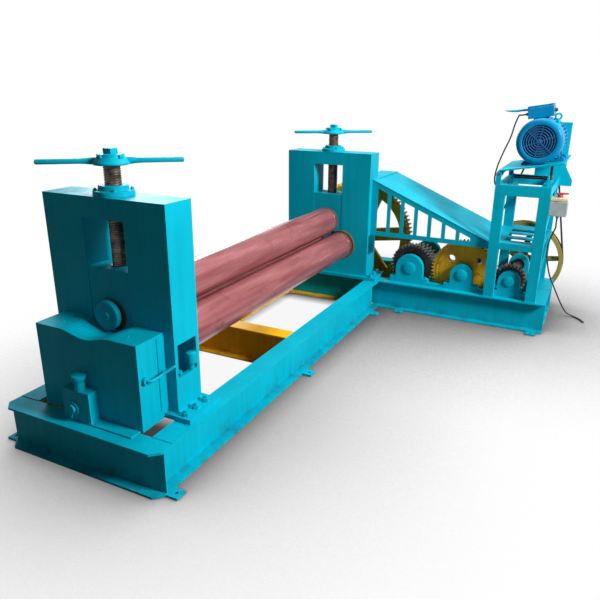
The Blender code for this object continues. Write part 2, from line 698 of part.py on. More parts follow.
def build_rolls():
    near_stub = STAND_Y - LOWER_NEAR_STUB
    bull_end = BULL_Y + BULL_HUB_LENGTH / 2 + 0.012
    gear_end = ROLL_GEAR_Y + ROLL_GEAR_WIDTH / 2 + 0.012
    turned("lower_front_roll", roll_profile(LOWER_JOURNAL, near_stub, bull_end), "Y",
           (LOWER_ROLL_X, 0.0, LOWER_ROLL_Z), ROLL_RED)
    turned("lower_rear_roll", roll_profile(LOWER_JOURNAL, near_stub, gear_end), "Y",
           (-LOWER_ROLL_X, 0.0, LOWER_ROLL_Z), ROLL_RED)
    top_near = STAND_Y - END_DISC_STANDOFF
    top_far = FAR_STAND_Y + STAND_THICK + 0.01
    turned("top_roll", roll_profile(TOP_JOURNAL, top_near, top_far), "Y", (0.0, 0.0, TOP_ROLL_Z), ROLL_RED)
    disc_back = top_near - SEAT_GAP
    disc_front = disc_back - END_DISC_THICK
    turned("top_roll_end_disc", [(0.0, disc_back), (END_DISC_RADIUS, disc_back),
                                 (END_DISC_RADIUS, disc_front + 0.006), (END_DISC_RADIUS - 0.006, disc_front),
                                 (0.024, disc_front), (0.020, disc_front - 0.006), (0.0, disc_front - 0.006)],
           "Y", (0.0, 0.0, TOP_ROLL_Z), CYAN, steps=ROUND)


def build_screw_down(prefix, y, bar_turn):
    """Bearing block, screw, nut and T handle at one end of the top roll."""
    middle = y + STAND_THICK / 2
    half = WINDOW_HALF_WIDTH - RUN_GAP
    block = box(f"{prefix}_top_block", (-half, y + BLOCK_SET_BACK, BLOCK_LOW),
                (half, y + STAND_THICK - BLOCK_SET_BACK, BLOCK_HIGH), CYAN)
    cut(block, rod("journal_bore", (0.0, middle, TOP_ROLL_Z), "Y", TOP_JOURNAL + RUN_GAP, 2 * STAND_THICK, sides=ROUND))
    pocket = SCREW_ENGAGE + SEAT_GAP
    cut(block, rod("screw_pocket", (0.0, middle, BLOCK_HIGH), "Z", SCREW_RADIUS + RUN_GAP, 2 * pocket, sides=ROUND))

    nut_base = STAND_TOP + SEAT_GAP
    step = nut_base + NUT_LOW_HEIGHT
    top = step + NUT_TOP_HEIGHT
    sleeve = WINDOW_TOP
    bore = SCREW_RADIUS + RUN_GAP
    turned(f"{prefix}_screw_nut", [(bore, top), (NUT_TOP_RADIUS, top), (NUT_TOP_RADIUS, step),
                                   (NUT_LOW_RADIUS, step), (NUT_LOW_RADIUS, nut_base),
                                   (NUT_SLEEVE_RADIUS, nut_base), (NUT_SLEEVE_RADIUS, sleeve), (bore, sleeve)],
           "Z", (0.0, middle, 0.0), CYAN, closed=True)

    low = BLOCK_HIGH - SCREW_ENGAGE
    hub_top = HUB_LOW + HUB_HEIGHT
    collar_top = hub_top + HUB_COLLAR_HEIGHT
    screw = turned(f"{prefix}_screw", [(0.0, collar_top), (HUB_COLLAR_RADIUS, collar_top),
                                       (HUB_COLLAR_RADIUS, hub_top), (HUB_RADIUS, hub_top),
                                       (HUB_RADIUS, HUB_LOW), (SCREW_RADIUS, HUB_LOW),
                                       (SCREW_RADIUS, low), (0.0, low)],
                   "Z", (0.0, middle, 0.0), STEEL)
    half_square = HUB_SQUARE / 2
    join(screw, box("square", (-half_square, middle - half_square, collar_top - 0.005),
                    (half_square, middle + half_square, collar_top + HUB_SQUARE_HEIGHT)))
    bar_z = HUB_LOW + HUB_HEIGHT / 2
    hole = rod("bar_hole", (0.0, middle, bar_z), "X", BAR_RADIUS + SEAT_GAP, BAR_LENGTH, sides=16)
    hole.rotation_euler = (0.0, math.pi / 2, bar_turn)
    cut(screw, hole)
    bar = rod(f"{prefix}_handle_bar", (0.0, middle, bar_z), "X", BAR_RADIUS, BAR_LENGTH, CYAN, sides=16)
    bar.rotation_euler = (0.0, math.pi / 2, bar_turn)


def cover_top(x, dip):
    """Height of the cover's top: level, with a smooth dip under the top roll's end disc."""
    if abs(x) >= COVER_DIP_HALF:
        return COVER_TOP
    return COVER_TOP - dip * math.cos(math.pi * x / (2 * COVER_DIP_HALF)) ** 2


def build_cover():
    xs = [-COVER_HALF_WIDTH] + [COVER_DIP_HALF * (i / 8 - 1) for i in range(17)] + [COVER_HALF_WIDTH]
    floor = STAND_FOOT_Z
    mesh = bpy.data.meshes.new("roll_end_cover")
    bm = bmesh.new()
    rows = []
    for depth, dip in ((0.0, COVER_DIP_FRONT), (COVER_DEPTH, COVER_DIP_BACK)):
        y = COVER_FRONT_Y + depth
        outline = [(-COVER_HALF_WIDTH, floor)] + [(x, cover_top(x, dip)) for x in xs] + [(COVER_HALF_WIDTH, floor)]
        rows.append([bm.verts.new((x, y, z)) for x, z in outline])
    for i in range(len(rows[0]) - 1):
        bm.faces.new((rows[0][i], rows[0][i + 1], rows[1][i + 1], rows[1][i]))
    bm.faces.new(list(reversed(rows[0])))
    bmesh.ops.recalc_face_normals(bm, faces=bm.faces)
    bm.to_mesh(mesh)
    bm.free()
    cover = bpy.data.objects.new("roll_end_cover", mesh)
    place(cover, CYAN)
    wall = cover.modifiers.new("wall", "SOLIDIFY")
    wall.thickness = COVER_WALL
    wall.use_even_offset = True
    # Notches behind, clear of the near stand's foot plate and its nuts
    foot_front = STAND_Y - FOOT_REACH - SEAT_GAP
    cut(cover, box("foot_notch", (-1.0, foot_front, 0.0), (1.0, STAND_Y + 0.1, STAND_FOOT_Z + FOOT_THICK + SEAT_GAP)))
    pin_x = BRACKET_X - 0.015
    cut(cover, rod("pin_bore", (pin_x, COVER_FRONT_Y, LOCK_PIN_Z), "Y", LOCK_PIN_RADIUS + RUN_GAP, 0.05, sides=16))
    join(cover, rod("lever_boss", (COVER_HALF_WIDTH + LEVER_BOSS / 2 - 0.003, LEVER_Y, LEVER_Z), "X",
                    LEVER_BOSS, LEVER_BOSS, sides=20))
    cut(cover, rod("lever_bore", (COVER_HALF_WIDTH, LEVER_Y, LEVER_Z), "X", LEVER_RADIUS + RUN_GAP, 0.1, sides=12))

    # Clamp bracket: an upturned U strap on a packing plate
    low = STAND_FOOT_Z
    pad_top = low + BRACKET_PAD
    high = pad_top + BRACKET_HEIGHT
    back = COVER_FRONT_Y - SEAT_GAP
    front = back - BRACKET_DEPTH
    left = BRACKET_X - BRACKET_WIDTH / 2
    right = BRACKET_X + BRACKET_WIDTH / 2
    bracket = box("clamp_bracket", (left, front, pad_top - 0.003), (right, back, high), CYAN)
    cut(bracket, box("strap_hollow", (left + BRACKET_WALL, front + BRACKET_WALL, low - 0.01),
                     (right - BRACKET_WALL, back + 0.05, high - BRACKET_WALL)))
    join(bracket, box("pad", (left - 0.02, front - 0.004, low), (left - 0.02 + BRACKET_PAD_WIDTH, back - 0.001, pad_top)))
    cut(bracket, rod("bracket_pin_bore", (pin_x, back, LOCK_PIN_Z), "Y", LOCK_PIN_RADIUS + RUN_GAP, 0.3, sides=16))
    bolt_x = BRACKET_X + 0.012
    bolt_y = COVER_FRONT_Y - CLAMP_BOLT_HEAD - 0.004
    cut(bracket, rod("clamp_bore", (bolt_x, bolt_y, high), "Z", CLAMP_BOLT_RADIUS + SEAT_GAP, 0.06, sides=16))
    head_low = high + SEAT_GAP
    turned("clamp_bolt", [(0.0, CLAMP_BOLT_TOP), (CLAMP_BOLT_HEAD, CLAMP_BOLT_TOP),
                          (CLAMP_BOLT_HEAD, CLAMP_BOLT_TOP - 0.02), (CLAMP_BOLT_HEAD - 0.01, CLAMP_BOLT_TOP - 0.034),
                          (CLAMP_BOLT_HEAD - 0.01, head_low), (CLAMP_BOLT_RADIUS, head_low),
                          (CLAMP_BOLT_RADIUS, high - BRACKET_WALL - 0.015), (0.0, high - BRACKET_WALL - 0.015)],
           "Z", (bolt_x, bolt_y, 0.0), CYAN, steps=16)
    head_back = front - SEAT_GAP
    head_front = head_back - 0.012
    inner_end = COVER_FRONT_Y + COVER_WALL + LOCK_PIN_INSERT
    turned("cover_lock_pin", [(0.0, inner_end), (LOCK_PIN_RADIUS, inner_end), (LOCK_PIN_RADIUS, head_back),
                              (LOCK_PIN_HEAD, head_back), (LOCK_PIN_HEAD, head_front),
                              (LOCK_PIN_RADIUS, head_front), (LOCK_PIN_RADIUS, head_front - 0.012),
                              (0.0, head_front - 0.012)],
           "Y", (pin_x, 0.0, LOCK_PIN_Z), CYAN, steps=16)
    lever_x = COVER_HALF_WIDTH + LEVER_BOSS + 0.016
    route = [(COVER_HALF_WIDTH - 0.02, LEVER_Y, LEVER_Z), (COVER_HALF_WIDTH, LEVER_Y, LEVER_Z),
             (lever_x - 0.010, LEVER_Y, LEVER_Z), (lever_x, LEVER_Y + 0.012, LEVER_Z),
             (lever_x + 0.006, LEVER_Y + 0.085, LEVER_Z + 0.004), (lever_x + 0.024, LEVER_Y + 0.115, LEVER_Z + 0.018),
             (lever_x + 0.045, LEVER_Y + 0.146, LEVER_Z + 0.036)]
    tube("cover_latch_lever", [Vector(point) for point in route], LEVER_RADIUS, CYAN)


def tooth_angle(teeth, module, radius):
    """Half the angle of a tooth at a radius, from its involute flank."""
    pitch = teeth * module / 2
    base = pitch * math.cos(PRESSURE_ANGLE)
    at = max(radius, base)
    local = math.acos(base / at)
    flank = math.tan(PRESSURE_ANGLE) - PRESSURE_ANGLE - (math.tan(local) - local)
    return math.pi / (2 * teeth) * (1 - BACKLASH) + flank


def gear_outline(teeth, module, phase):
    pitch = teeth * module / 2
    tip = pitch + ADDENDUM * module
    root = pitch - DEDENDUM * module
    tip_half = tooth_angle(teeth, module, tip)
    root_half = tooth_angle(teeth, module, root)
    loop = []
    for i in range(teeth):
        centre = phase + math.tau * i / teeth
        for radius, angle in ((root, -root_half), (tip, -tip_half), (tip, tip_half), (root, root_half)):
            loop.append((radius * math.cos(centre + angle), radius * math.sin(centre + angle)))
    return loop


def mating_phase(phase, teeth, mate_teeth, direction):
    """Phase of a mating gear whose tooth gap faces a tooth of the first gear."""
    turned_by = phase - direction
    return direction + math.pi + math.pi / mate_teeth - turned_by * teeth / mate_teeth


def spoke_window(inner, outer, spoke, count, index):
    """One opening between two straight spokes of even width."""
    middle = SPOKE_PHASE + math.tau * (index + 0.5) / count
    outer_half = math.pi / count - math.asin(spoke / 2 / outer)
    inner_half = math.pi / count - math.asin(spoke / 2 / inner)
    return (arc(0.0, 0.0, outer, middle - outer_half, middle + outer_half, 5)
            + arc(0.0, 0.0, inner, middle + inner_half, middle - inner_half, 2))


def build_gears():
    front_dir = math.atan2(IDLER_Z - LOWER_ROLL_Z, -LOWER_ROLL_X)
    rear_dir = math.atan2(LOWER_ROLL_Z - IDLER_Z, -LOWER_ROLL_X)
    front_phase = math.pi / 2
    idler_phase = mating_phase(front_phase, ROLL_GEAR_TEETH, IDLER_TEETH, front_dir)
    rear_phase = mating_phase(idler_phase, IDLER_TEETH, ROLL_GEAR_TEETH, rear_dir)
    bore = LOWER_JOURNAL + SEAT_GAP
    for name, side, phase in (("front_roll_gear", 1, front_phase), ("rear_roll_gear", -1, rear_phase)):
        plate(name, [gear_outline(ROLL_GEAR_TEETH, DRIVE_MODULE, phase), circle(0.0, 0.0, bore, ROUND)],
              ROLL_GEAR_WIDTH, "XZ", (side * LOWER_ROLL_X, ROLL_GEAR_Y, LOWER_ROLL_Z), YELLOW)
    plate("idler_gear", [gear_outline(IDLER_TEETH, DRIVE_MODULE, idler_phase),
                         circle(0.0, 0.0, IDLER_STUB_RADIUS + RUN_GAP)],
          ROLL_GEAR_WIDTH, "XZ", (0.0, ROLL_GEAR_Y, IDLER_Z), GREASED)

    bull_dir = math.atan2(SHAFT_Z - LOWER_ROLL_Z, SHAFT_1_X - LOWER_ROLL_X)
    bull_root = BULL_TEETH * BULL_MODULE / 2 - DEDENDUM * BULL_MODULE
    rim_inside = bull_root - BULL_RIM
    bull = plate("bull_gear", [gear_outline(BULL_TEETH, BULL_MODULE, 0.0), circle(0.0, 0.0, rim_inside, 24, 0.04)],
                 BULL_WIDTH, "XZ", (LOWER_ROLL_X, BULL_Y, LOWER_ROLL_Z), YELLOW)
    windows = [spoke_window(BULL_HUB_RADIUS + 0.03, rim_inside - 0.012, BULL_SPOKE_WIDTH, BULL_SPOKES, i)
               for i in range(BULL_SPOKES)]
    spider = plate("spider", [circle(0.0, 0.0, rim_inside + 0.015, 24, 0.04)] + windows, BULL_WEB, "XZ",
                   (LOWER_ROLL_X, BULL_Y, LOWER_ROLL_Z))
    hub = rod("hub", (LOWER_ROLL_X, BULL_Y, LOWER_ROLL_Z), "Y", BULL_HUB_RADIUS, BULL_HUB_LENGTH, sides=ROUND)
    join(bull, spider, hub)
    cut(bull, rod("bull_bore", (LOWER_ROLL_X, BULL_Y, LOWER_ROLL_Z), "Y", bore, 0.3, sides=ROUND))

    pinion_1_phase = mating_phase(0.0, BULL_TEETH, PINION_1_TEETH, bull_dir)
    pinion_1 = plate("pinion_shaft_1", [gear_outline(PINION_1_TEETH, BULL_MODULE, pinion_1_phase)],
                     BULL_WIDTH, "XZ", (SHAFT_1_X, BULL_Y, SHAFT_Z), GREASED)
    front_end = FRONT_PLATE_Y - SHAFT_PROUD
    rear_end = REAR_PLATE_Y + BEARING_PLATE_THICK
    join(pinion_1, shaft_rod(0, front_end, rear_end, None, "shaft"))
    gear_bores = [radius + SEAT_GAP for radius in SHAFT_RADII]
    plate("gear_1", [gear_outline(GEAR_1_TEETH, DRIVE_MODULE, 0.0), circle(0.0, 0.0, gear_bores[0], ROUND)],
          TRAIN_WIDTH, "XZ", (SHAFT_1_X, TRAIN_Y, SHAFT_Z), GREASED)

    gear_2_phase = mating_phase(0.0, GEAR_1_TEETH, GEAR_2_TEETH, 0.0)
    holes = [circle(GEAR_2_HOLE_CIRCLE * math.cos(math.tau * i / GEAR_2_HOLES + GEAR_2_HOLE_PHASE),
                    GEAR_2_HOLE_CIRCLE * math.sin(math.tau * i / GEAR_2_HOLES + GEAR_2_HOLE_PHASE), GEAR_2_HOLE_RADIUS, 10)
             for i in range(GEAR_2_HOLES)]
    plate("gear_2", [gear_outline(GEAR_2_TEETH, DRIVE_MODULE, gear_2_phase),
                     circle(0.0, 0.0, gear_bores[1], ROUND)] + holes,
          TRAIN_WIDTH, "XZ", (SHAFT_2_X, TRAIN_Y, SHAFT_Z), YELLOW)
    shaft_rod(1, front_end, rear_end, STEEL, "shaft_2")

    pinion_3_phase = mating_phase(gear_2_phase, GEAR_2_TEETH, PINION_3_TEETH, 0.0)
    pinion_3 = plate("pinion_shaft_3", [gear_outline(PINION_3_TEETH, DRIVE_MODULE, pinion_3_phase)],
                     TRAIN_WIDTH, "XZ", (SHAFT_3_X, TRAIN_Y, SHAFT_Z), GREASED)
    wheel_end = BELT_WHEEL_Y + BELT_WHEEL_WIDTH / 2 + 0.012
    join(pinion_3, shaft_rod(2, front_end, wheel_end, None, "shaft"))


def shaft_rod(index, start, end, mat, name):
    return rod(name, (SHAFT_XS[index], (start + end) / 2, SHAFT_Z), "Y", SHAFT_RADII[index], end - start, mat, sides=ROUND)


def bearing_outline():
    """Strip on the beam with a footed round bearing lobe for each shaft."""
    low = BEAM_HEIGHT + SEAT_GAP
    strip = low + BEARING_STRIP_HEIGHT
    foot = low + BEARING_FOOT_HEIGHT
    first = SHAFT_XS[0] - BEARING_RADII[0] - BEARING_FOOT
    last = SHAFT_XS[2] + BEARING_RADII[2] + BEARING_FOOT
    top = []
    for index, (x, radius) in enumerate(zip(SHAFT_XS, BEARING_RADII)):
        left = x - radius - BEARING_FOOT
        right = x + radius + BEARING_FOOT
        if index > 0:
            top.append((left, strip))
        top += [(left, foot), (x - radius, foot)]
        top += [(a, b) for a, b in arc(x, SHAFT_Z, radius, math.pi, 0.0, 10)]
        top += [(x + radius, foot), (right, foot)]
        if index < 2:
            top.append((right, strip))
    return [(first, low)] + top + [(last, low)]


def build_bearings():
    for name, y in (("front_bearing_plate", FRONT_PLATE_Y), ("rear_bearing_plate", REAR_PLATE_Y)):
        middle = y + BEARING_PLATE_THICK / 2
        bores = [circle(x, SHAFT_Z, radius + RUN_GAP, ROUND) for x, radius in zip(SHAFT_XS, SHAFT_RADII)]
        body = plate(name, [bearing_outline()] + bores, BEARING_PLATE_THICK, "XZ", (0.0, middle, 0.0), CYAN)
        foot = BEAM_HEIGHT + SEAT_GAP + BEARING_FOOT_HEIGHT
        for x, radius in zip(SHAFT_XS, BEARING_RADII):
            for side in (-1, 1):
                spot = x + side * (radius + BEARING_FOOT / 2)
                join(body, rod("bolt_head", (spot, middle, foot), "Z", BOLT_HEAD_RADIUS, 2 * BOLT_HEAD_HEIGHT, sides=6))


def outer_arc(x, z, radius, start, end, steps):
    """An arc whose flats, and not its corners, lie at the radius."""
    return arc(x, z, radius / math.cos((end - start) / steps / 2), start, end, steps)


def belt_loop(radius_1, radius_2):
    """Closed line round the wheel and the pulley, straight between them."""
    across = MOTOR_X - SHAFT_3_X
    up = MOTOR_Z - SHAFT_Z
    direction = math.atan2(up, across)
    spread = math.acos((radius_1 - radius_2) / math.hypot(across, up))
    low = outer_arc(SHAFT_3_X, SHAFT_Z, radius_1, direction + spread, direction + math.tau - spread, 24)
    high = outer_arc(MOTOR_X, MOTOR_Z, radius_2, direction - spread, direction + spread, 8)
    return low + high


def build_belt_drive():
    half = BELT_WHEEL_WIDTH / 2
    bed = BELT_WHEEL_RADIUS - BELT_RECESS
    inside = BELT_WHEEL_RADIUS - BELT_WHEEL_RIM
    belt_half = BELT_WIDTH / 2 + RUN_GAP
    centre = (SHAFT_3_X, BELT_WHEEL_Y, SHAFT_Z)
    wheel = turned("belt_wheel", [(BELT_WHEEL_RADIUS, half), (BELT_WHEEL_RADIUS, belt_half + 0.002), (bed, belt_half),
                                  (bed, -belt_half), (BELT_WHEEL_RADIUS, -belt_half - 0.002),
                                  (BELT_WHEEL_RADIUS, -half), (inside, -half), (inside, half)],
                   "Y", centre, OLIVE, closed=True)
    windows = [spoke_window(BELT_WHEEL_HUB + 0.03, inside - 0.008, BELT_WHEEL_SPOKE_WIDTH, BELT_WHEEL_SPOKES, i)
               for i in range(BELT_WHEEL_SPOKES)]
    web = plate("web", [circle(0.0, 0.0, inside + 0.012, ROUND, 0.04)] + windows, BELT_WHEEL_WEB, "XZ", centre)
    join(wheel, web, rod("hub", centre, "Y", BELT_WHEEL_HUB, BELT_WHEEL_WIDTH, sides=ROUND))
    cut(wheel, rod("wheel_bore", centre, "Y", SHAFT_3_RADIUS + SEAT_GAP, 0.3, sides=ROUND))

    inner_1 = bed + SEAT_GAP
    inner_2 = PULLEY_RADIUS - BELT_RECESS + SEAT_GAP
    plate("v_belts", [belt_loop(inner_1 + BELT_THICK, inner_2 + BELT_THICK), belt_loop(inner_1, inner_2)],
          BELT_WIDTH, "XZ", (0.0, BELT_WHEEL_Y, 0.0), RUBBER)


def box_union(target, low, high):
    join(target, box("bar", low, high))


def build_tower():
    left, right = TOWER_LEFT, TOWER_RIGHT
    front, back = TOWER_FRONT_Y, TOWER_BACK_Y
    width = TOWER_LEG_WIDTH
    foot = BEAM_HEIGHT + SEAT_GAP
    rail_low = TOWER_TOP - TOWER_BAR
    front_in = front + TOWER_FRONT_LEG_DEPTH
    back_in = back - TOWER_BACK_LEG_DEPTH
    tower = box("tower_frame", (left, front, rail_low), (right, front_in, TOWER_TOP), CYAN)
    box_union(tower, (left, back_in, rail_low), (right, back, TOWER_TOP))
    for x in (left, right - width):
        box_union(tower, (x, front + 0.001, foot), (x + width, front_in - 0.001, TOWER_TOP - 0.002))
        box_union(tower, (x, back_in + 0.001, foot), (x + width, back - 0.001, TOWER_TOP - 0.002))
        box_union(tower, (x + 0.001, front_in - 0.01, rail_low + 0.001), (x + width - 0.001, back_in + 0.01, TOWER_TOP - 0.001))
    shelf = TOWER_CROSSBAR_LOW + TOWER_CROSSBAR_HEIGHT
    box_union(tower, (left + 0.001, front + 0.002, TOWER_CROSSBAR_LOW), (right - 0.001, front_in - 0.002, shelf))
    box_union(tower, (left + 0.002, back_in + 0.002, TOWER_CROSSBAR_LOW), (right - 0.002, back - 0.002, shelf))
    box_union(tower, (left + 0.003, front + 0.003, shelf - 0.004), (right - 0.003, back - 0.003, shelf + TOWER_SHELF_THICK))
    for i in range(3):
        low_y = front_in + 0.07 + i * 0.19
        cut(tower, box("shelf_slot", (left + width + 0.02, low_y, shelf - 0.02), (right - width - 0.02, low_y + 0.11, shelf + 0.03)))
    # Diagonal brace on the right side, from the front foot up to the back leg
    run = back_in - front_in
    rise = TOWER_CROSSBAR_LOW - foot
    slope = math.atan2(rise, run)
    half = TOWER_BRACE / 2
    side_x = right - 0.012
    brace = [(front_in - 0.02, foot + 0.06 - half), (back_in + 0.02, TOWER_CROSSBAR_LOW - half),
             (back_in + 0.02, TOWER_CROSSBAR_LOW + half), (front_in - 0.02, foot + 0.06 + half)]
    join(tower, plate("brace", [brace], 0.01, "YZ", (side_x, 0.0, 0.0)))
    upper = [(front_in - 0.02, shelf + 0.05), (front_in - 0.02, shelf + 0.05 + TOWER_BRACE),
             (back_in + 0.02, rail_low - 0.03), (back_in + 0.02, rail_low - 0.03 - TOWER_BRACE)]
    join(tower, plate("upper_brace", [upper], 0.01, "YZ", (side_x, 0.0, 0.0)))

    # Hinge lugs and pin of the motor platform
    for lug_y in (front + HINGE_LUG_INSET, back_in - HINGE_LUG_INSET):
        outline = [(HINGE_X + HINGE_LUG_RADIUS, TOWER_TOP - 0.02), (HINGE_X + HINGE_LUG_RADIUS, HINGE_Z)]
        outline += arc(HINGE_X, HINGE_Z, HINGE_LUG_RADIUS, 0.0, math.pi, 10)[1:]
        outline.append((HINGE_X - HINGE_LUG_RADIUS + 0.004, TOWER_TOP - 0.02))
        lug = plate("hinge_lug", [outline], HINGE_LUG_THICK, "XZ", (0.0, lug_y, 0.0))
        join(tower, lug)
        cut(tower, rod("hinge_bore", (HINGE_X, lug_y, HINGE_Z), "Y", HINGE_PIN_RADIUS + SEAT_GAP, 0.06, sides=16))
    join(tower, rod("tension_nut", (TENSION_SCREW_X, TENSION_SCREW_Y, TOWER_TOP), "Z", TENSION_NUT_RADIUS,
                    2 * TENSION_NUT_HEIGHT, sides=6))
    cut(tower, rod("tension_bore", (TENSION_SCREW_X, TENSION_SCREW_Y, rail_low), "Z",
                   TENSION_SCREW_RADIUS + RUN_GAP, 0.3, sides=16))
    pin_start = front + HINGE_LUG_INSET - HINGE_LUG_THICK / 2
    pin_end = back_in - HINGE_LUG_INSET + HINGE_LUG_THICK / 2
    rod("platform_hinge_pin", (HINGE_X, (pin_start + pin_end) / 2, HINGE_Z), "Y", HINGE_PIN_RADIUS,
        pin_end - pin_start, STEEL, sides=16)

    # Tension screw, its rounded tip under the platform
    u = (TENSION_SCREW_X - HINGE_X + PLATFORM_LOW * math.sin(TILT)) / math.cos(TILT)
    under = HINGE_Z + u * math.sin(TILT) + PLATFORM_LOW * math.cos(TILT)
    tip = under - TENSION_TIP_GAP
    screw = turned("tension_screw", [(0.0, tip), (0.004, tip - 0.0015), (TENSION_SCREW_RADIUS, tip - 0.008),
                                     (TENSION_SCREW_RADIUS, TENSION_SCREW_LOW), (0.0, TENSION_SCREW_LOW)],
                   "Z", (TENSION_SCREW_X, TENSION_SCREW_Y, 0.0), STEEL, steps=16)
    join(screw, rod("tension_head", (TENSION_SCREW_X, TENSION_SCREW_Y, TENSION_SCREW_LOW), "Z",
                    TENSION_HEAD_RADIUS, TENSION_HEAD_HEIGHT, sides=6))


def build_motor():
    """Everything on the tilting platform, in the platform's own tilted frame."""
    hinge = bpy.data.objects.new("motor_platform_axis", None)
    parts.objects.link(hinge)
    hinge.hide_render = True
    hinge.location = (HINGE_X, 0.0, HINGE_Z)
    hinge.rotation_euler = (0.0, -TILT, 0.0)
    first = set(bpy.data.objects)
    top = PLATFORM_LOW + PLATFORM_THICK
    platform = box("motor_platform", (0.0, PLATFORM_FRONT_Y, PLATFORM_LOW), (PLATFORM_LENGTH, PLATFORM_BACK_Y, top), CYAN)
    front_lug = TOWER_FRONT_Y + HINGE_LUG_INSET + HINGE_LUG_THICK / 2 + RUN_GAP
    back_lug = TOWER_BACK_Y - TOWER_BACK_LEG_DEPTH - HINGE_LUG_INSET - HINGE_LUG_THICK / 2 - RUN_GAP
    for y in (front_lug + KNUCKLE_LENGTH / 2, back_lug - KNUCKLE_LENGTH / 2):
        join(platform, rod("knuckle", (0.0, y, 0.0), "Y", KNUCKLE_RADIUS, KNUCKLE_LENGTH, sides=16))
        cut(platform, rod("knuckle_bore", (0.0, y, 0.0), "Y", HINGE_PIN_RADIUS + RUN_GAP, KNUCKLE_LENGTH + 0.02, sides=16))

    shaft_bore = MOTOR_SHAFT_RADIUS + RUN_GAP
    axis = (MOTOR_U, 0.0, MOTOR_W)
    body = turned("motor_body", [(0.0, END_BELL_Y), (END_BELL_RADIUS * 0.5, END_BELL_Y), (END_BELL_RADIUS, MOTOR_BACK_Y + 0.02),
                                 (MOTOR_RADIUS, MOTOR_BACK_Y), (MOTOR_RADIUS, MOTOR_FRONT_Y), (0.0, MOTOR_FRONT_Y)],
                  "Y", axis, BLUE, steps=ROUND)
    for side in (-1, 1):
        x = MOTOR_U + side * MOTOR_FOOT_SPREAD
        foot_low = top + SEAT_GAP
        for y in (MOTOR_FRONT_Y + 0.04, MOTOR_BACK_Y - 0.10):
            join(body, box("foot", (x - MOTOR_FOOT_WIDTH / 2, y, foot_low),
                           (x + MOTOR_FOOT_WIDTH / 2, y + 0.06, foot_low + MOTOR_FOOT_THICK)))
            rib_x = MOTOR_U + side * (MOTOR_FOOT_SPREAD - 0.012)
            join(body, box("foot_rib", (rib_x - 0.012, y + 0.005, foot_low + 0.005),
                           (rib_x + 0.012, y + 0.055, MOTOR_W - 0.08)))
    saddle_top = MOTOR_W + MOTOR_RADIUS + SADDLE_HEIGHT
    join(body, box("saddle", (MOTOR_U - 0.06, TERMINAL_FRONT_Y + 0.02, MOTOR_W + MOTOR_RADIUS - 0.03),
                   (MOTOR_U + 0.06, TERMINAL_BACK_Y - 0.02, saddle_top)))
    bore_length = 2 * (END_BELL_Y - MOTOR_SHAFT_START + SEAT_GAP)
    cut(body, rod("shaft_bore", (MOTOR_U, END_BELL_Y, MOTOR_W), "Y", shaft_bore, bore_length, sides=32))

    wall = FAN_COVER_WALL
    rear = MOTOR_FRONT_Y + FAN_COVER_LAP
    radius = MOTOR_RADIUS + SEAT_GAP + wall
    turned("motor_fan_cover", [(0.0, FAN_COVER_Y + wall), (radius - 0.022, FAN_COVER_Y + wall),
                               (radius - wall, FAN_COVER_Y + 0.022), (radius - wall, rear), (radius, rear),
                               (radius, FAN_COVER_Y + 0.02), (radius - 0.02, FAN_COVER_Y), (0.0, FAN_COVER_Y)],
           "Y", axis, BLUE, steps=ROUND)
    box_low = saddle_top + SEAT_GAP
    terminal = box("motor_terminal_box", (MOTOR_U - TERMINAL_HALF_WIDTH, TERMINAL_FRONT_Y, box_low),
                   (MOTOR_U + TERMINAL_HALF_WIDTH, TERMINAL_BACK_Y, box_low + TERMINAL_HEIGHT), BLUE)
    gland_z = box_low + TERMINAL_HEIGHT * 0.4
    gland_y = (TERMINAL_FRONT_Y + TERMINAL_BACK_Y) / 2
    join(terminal, rod("gland", (MOTOR_U - TERMINAL_HALF_WIDTH, gland_y, gland_z), "X", GLAND_RADIUS, 2 * GLAND_LENGTH, sides=12))

    shaft_end = BELT_WHEEL_Y + BELT_WHEEL_WIDTH / 2 + 0.01
    rod("motor_shaft", (MOTOR_U, (MOTOR_SHAFT_START + shaft_end) / 2, MOTOR_W), "Y", MOTOR_SHAFT_RADIUS,
        shaft_end - MOTOR_SHAFT_START, STEEL)
    half = BELT_WHEEL_WIDTH / 2
    belt_half = BELT_WIDTH / 2 + RUN_GAP
    bed = PULLEY_RADIUS - BELT_RECESS
    bore = MOTOR_SHAFT_RADIUS + SEAT_GAP
    turned("motor_pulley", [(PULLEY_RADIUS, half), (PULLEY_RADIUS, belt_half), (bed, belt_half), (bed, -belt_half),
                            (PULLEY_RADIUS, -belt_half), (PULLEY_RADIUS, -half), (bore, -half), (bore, half)],
           "Y", (MOTOR_U, BELT_WHEEL_Y, MOTOR_W), GREASED, closed=True, steps=ROUND)
    for obj in set(bpy.data.objects) - first:
        obj.parent = hinge


def guard_top(x):
    """Height of the guard's roof: level behind the stand, then sloping down to the tower."""
    start = STAND_HALF_WIDTH
    end = TOWER_LEFT
    if x <= start:
        return GUARD_TOP_LEFT
    return GUARD_TOP_LEFT + (GUARD_TOP_RIGHT - GUARD_TOP_LEFT) * (x - start) / (end - start)


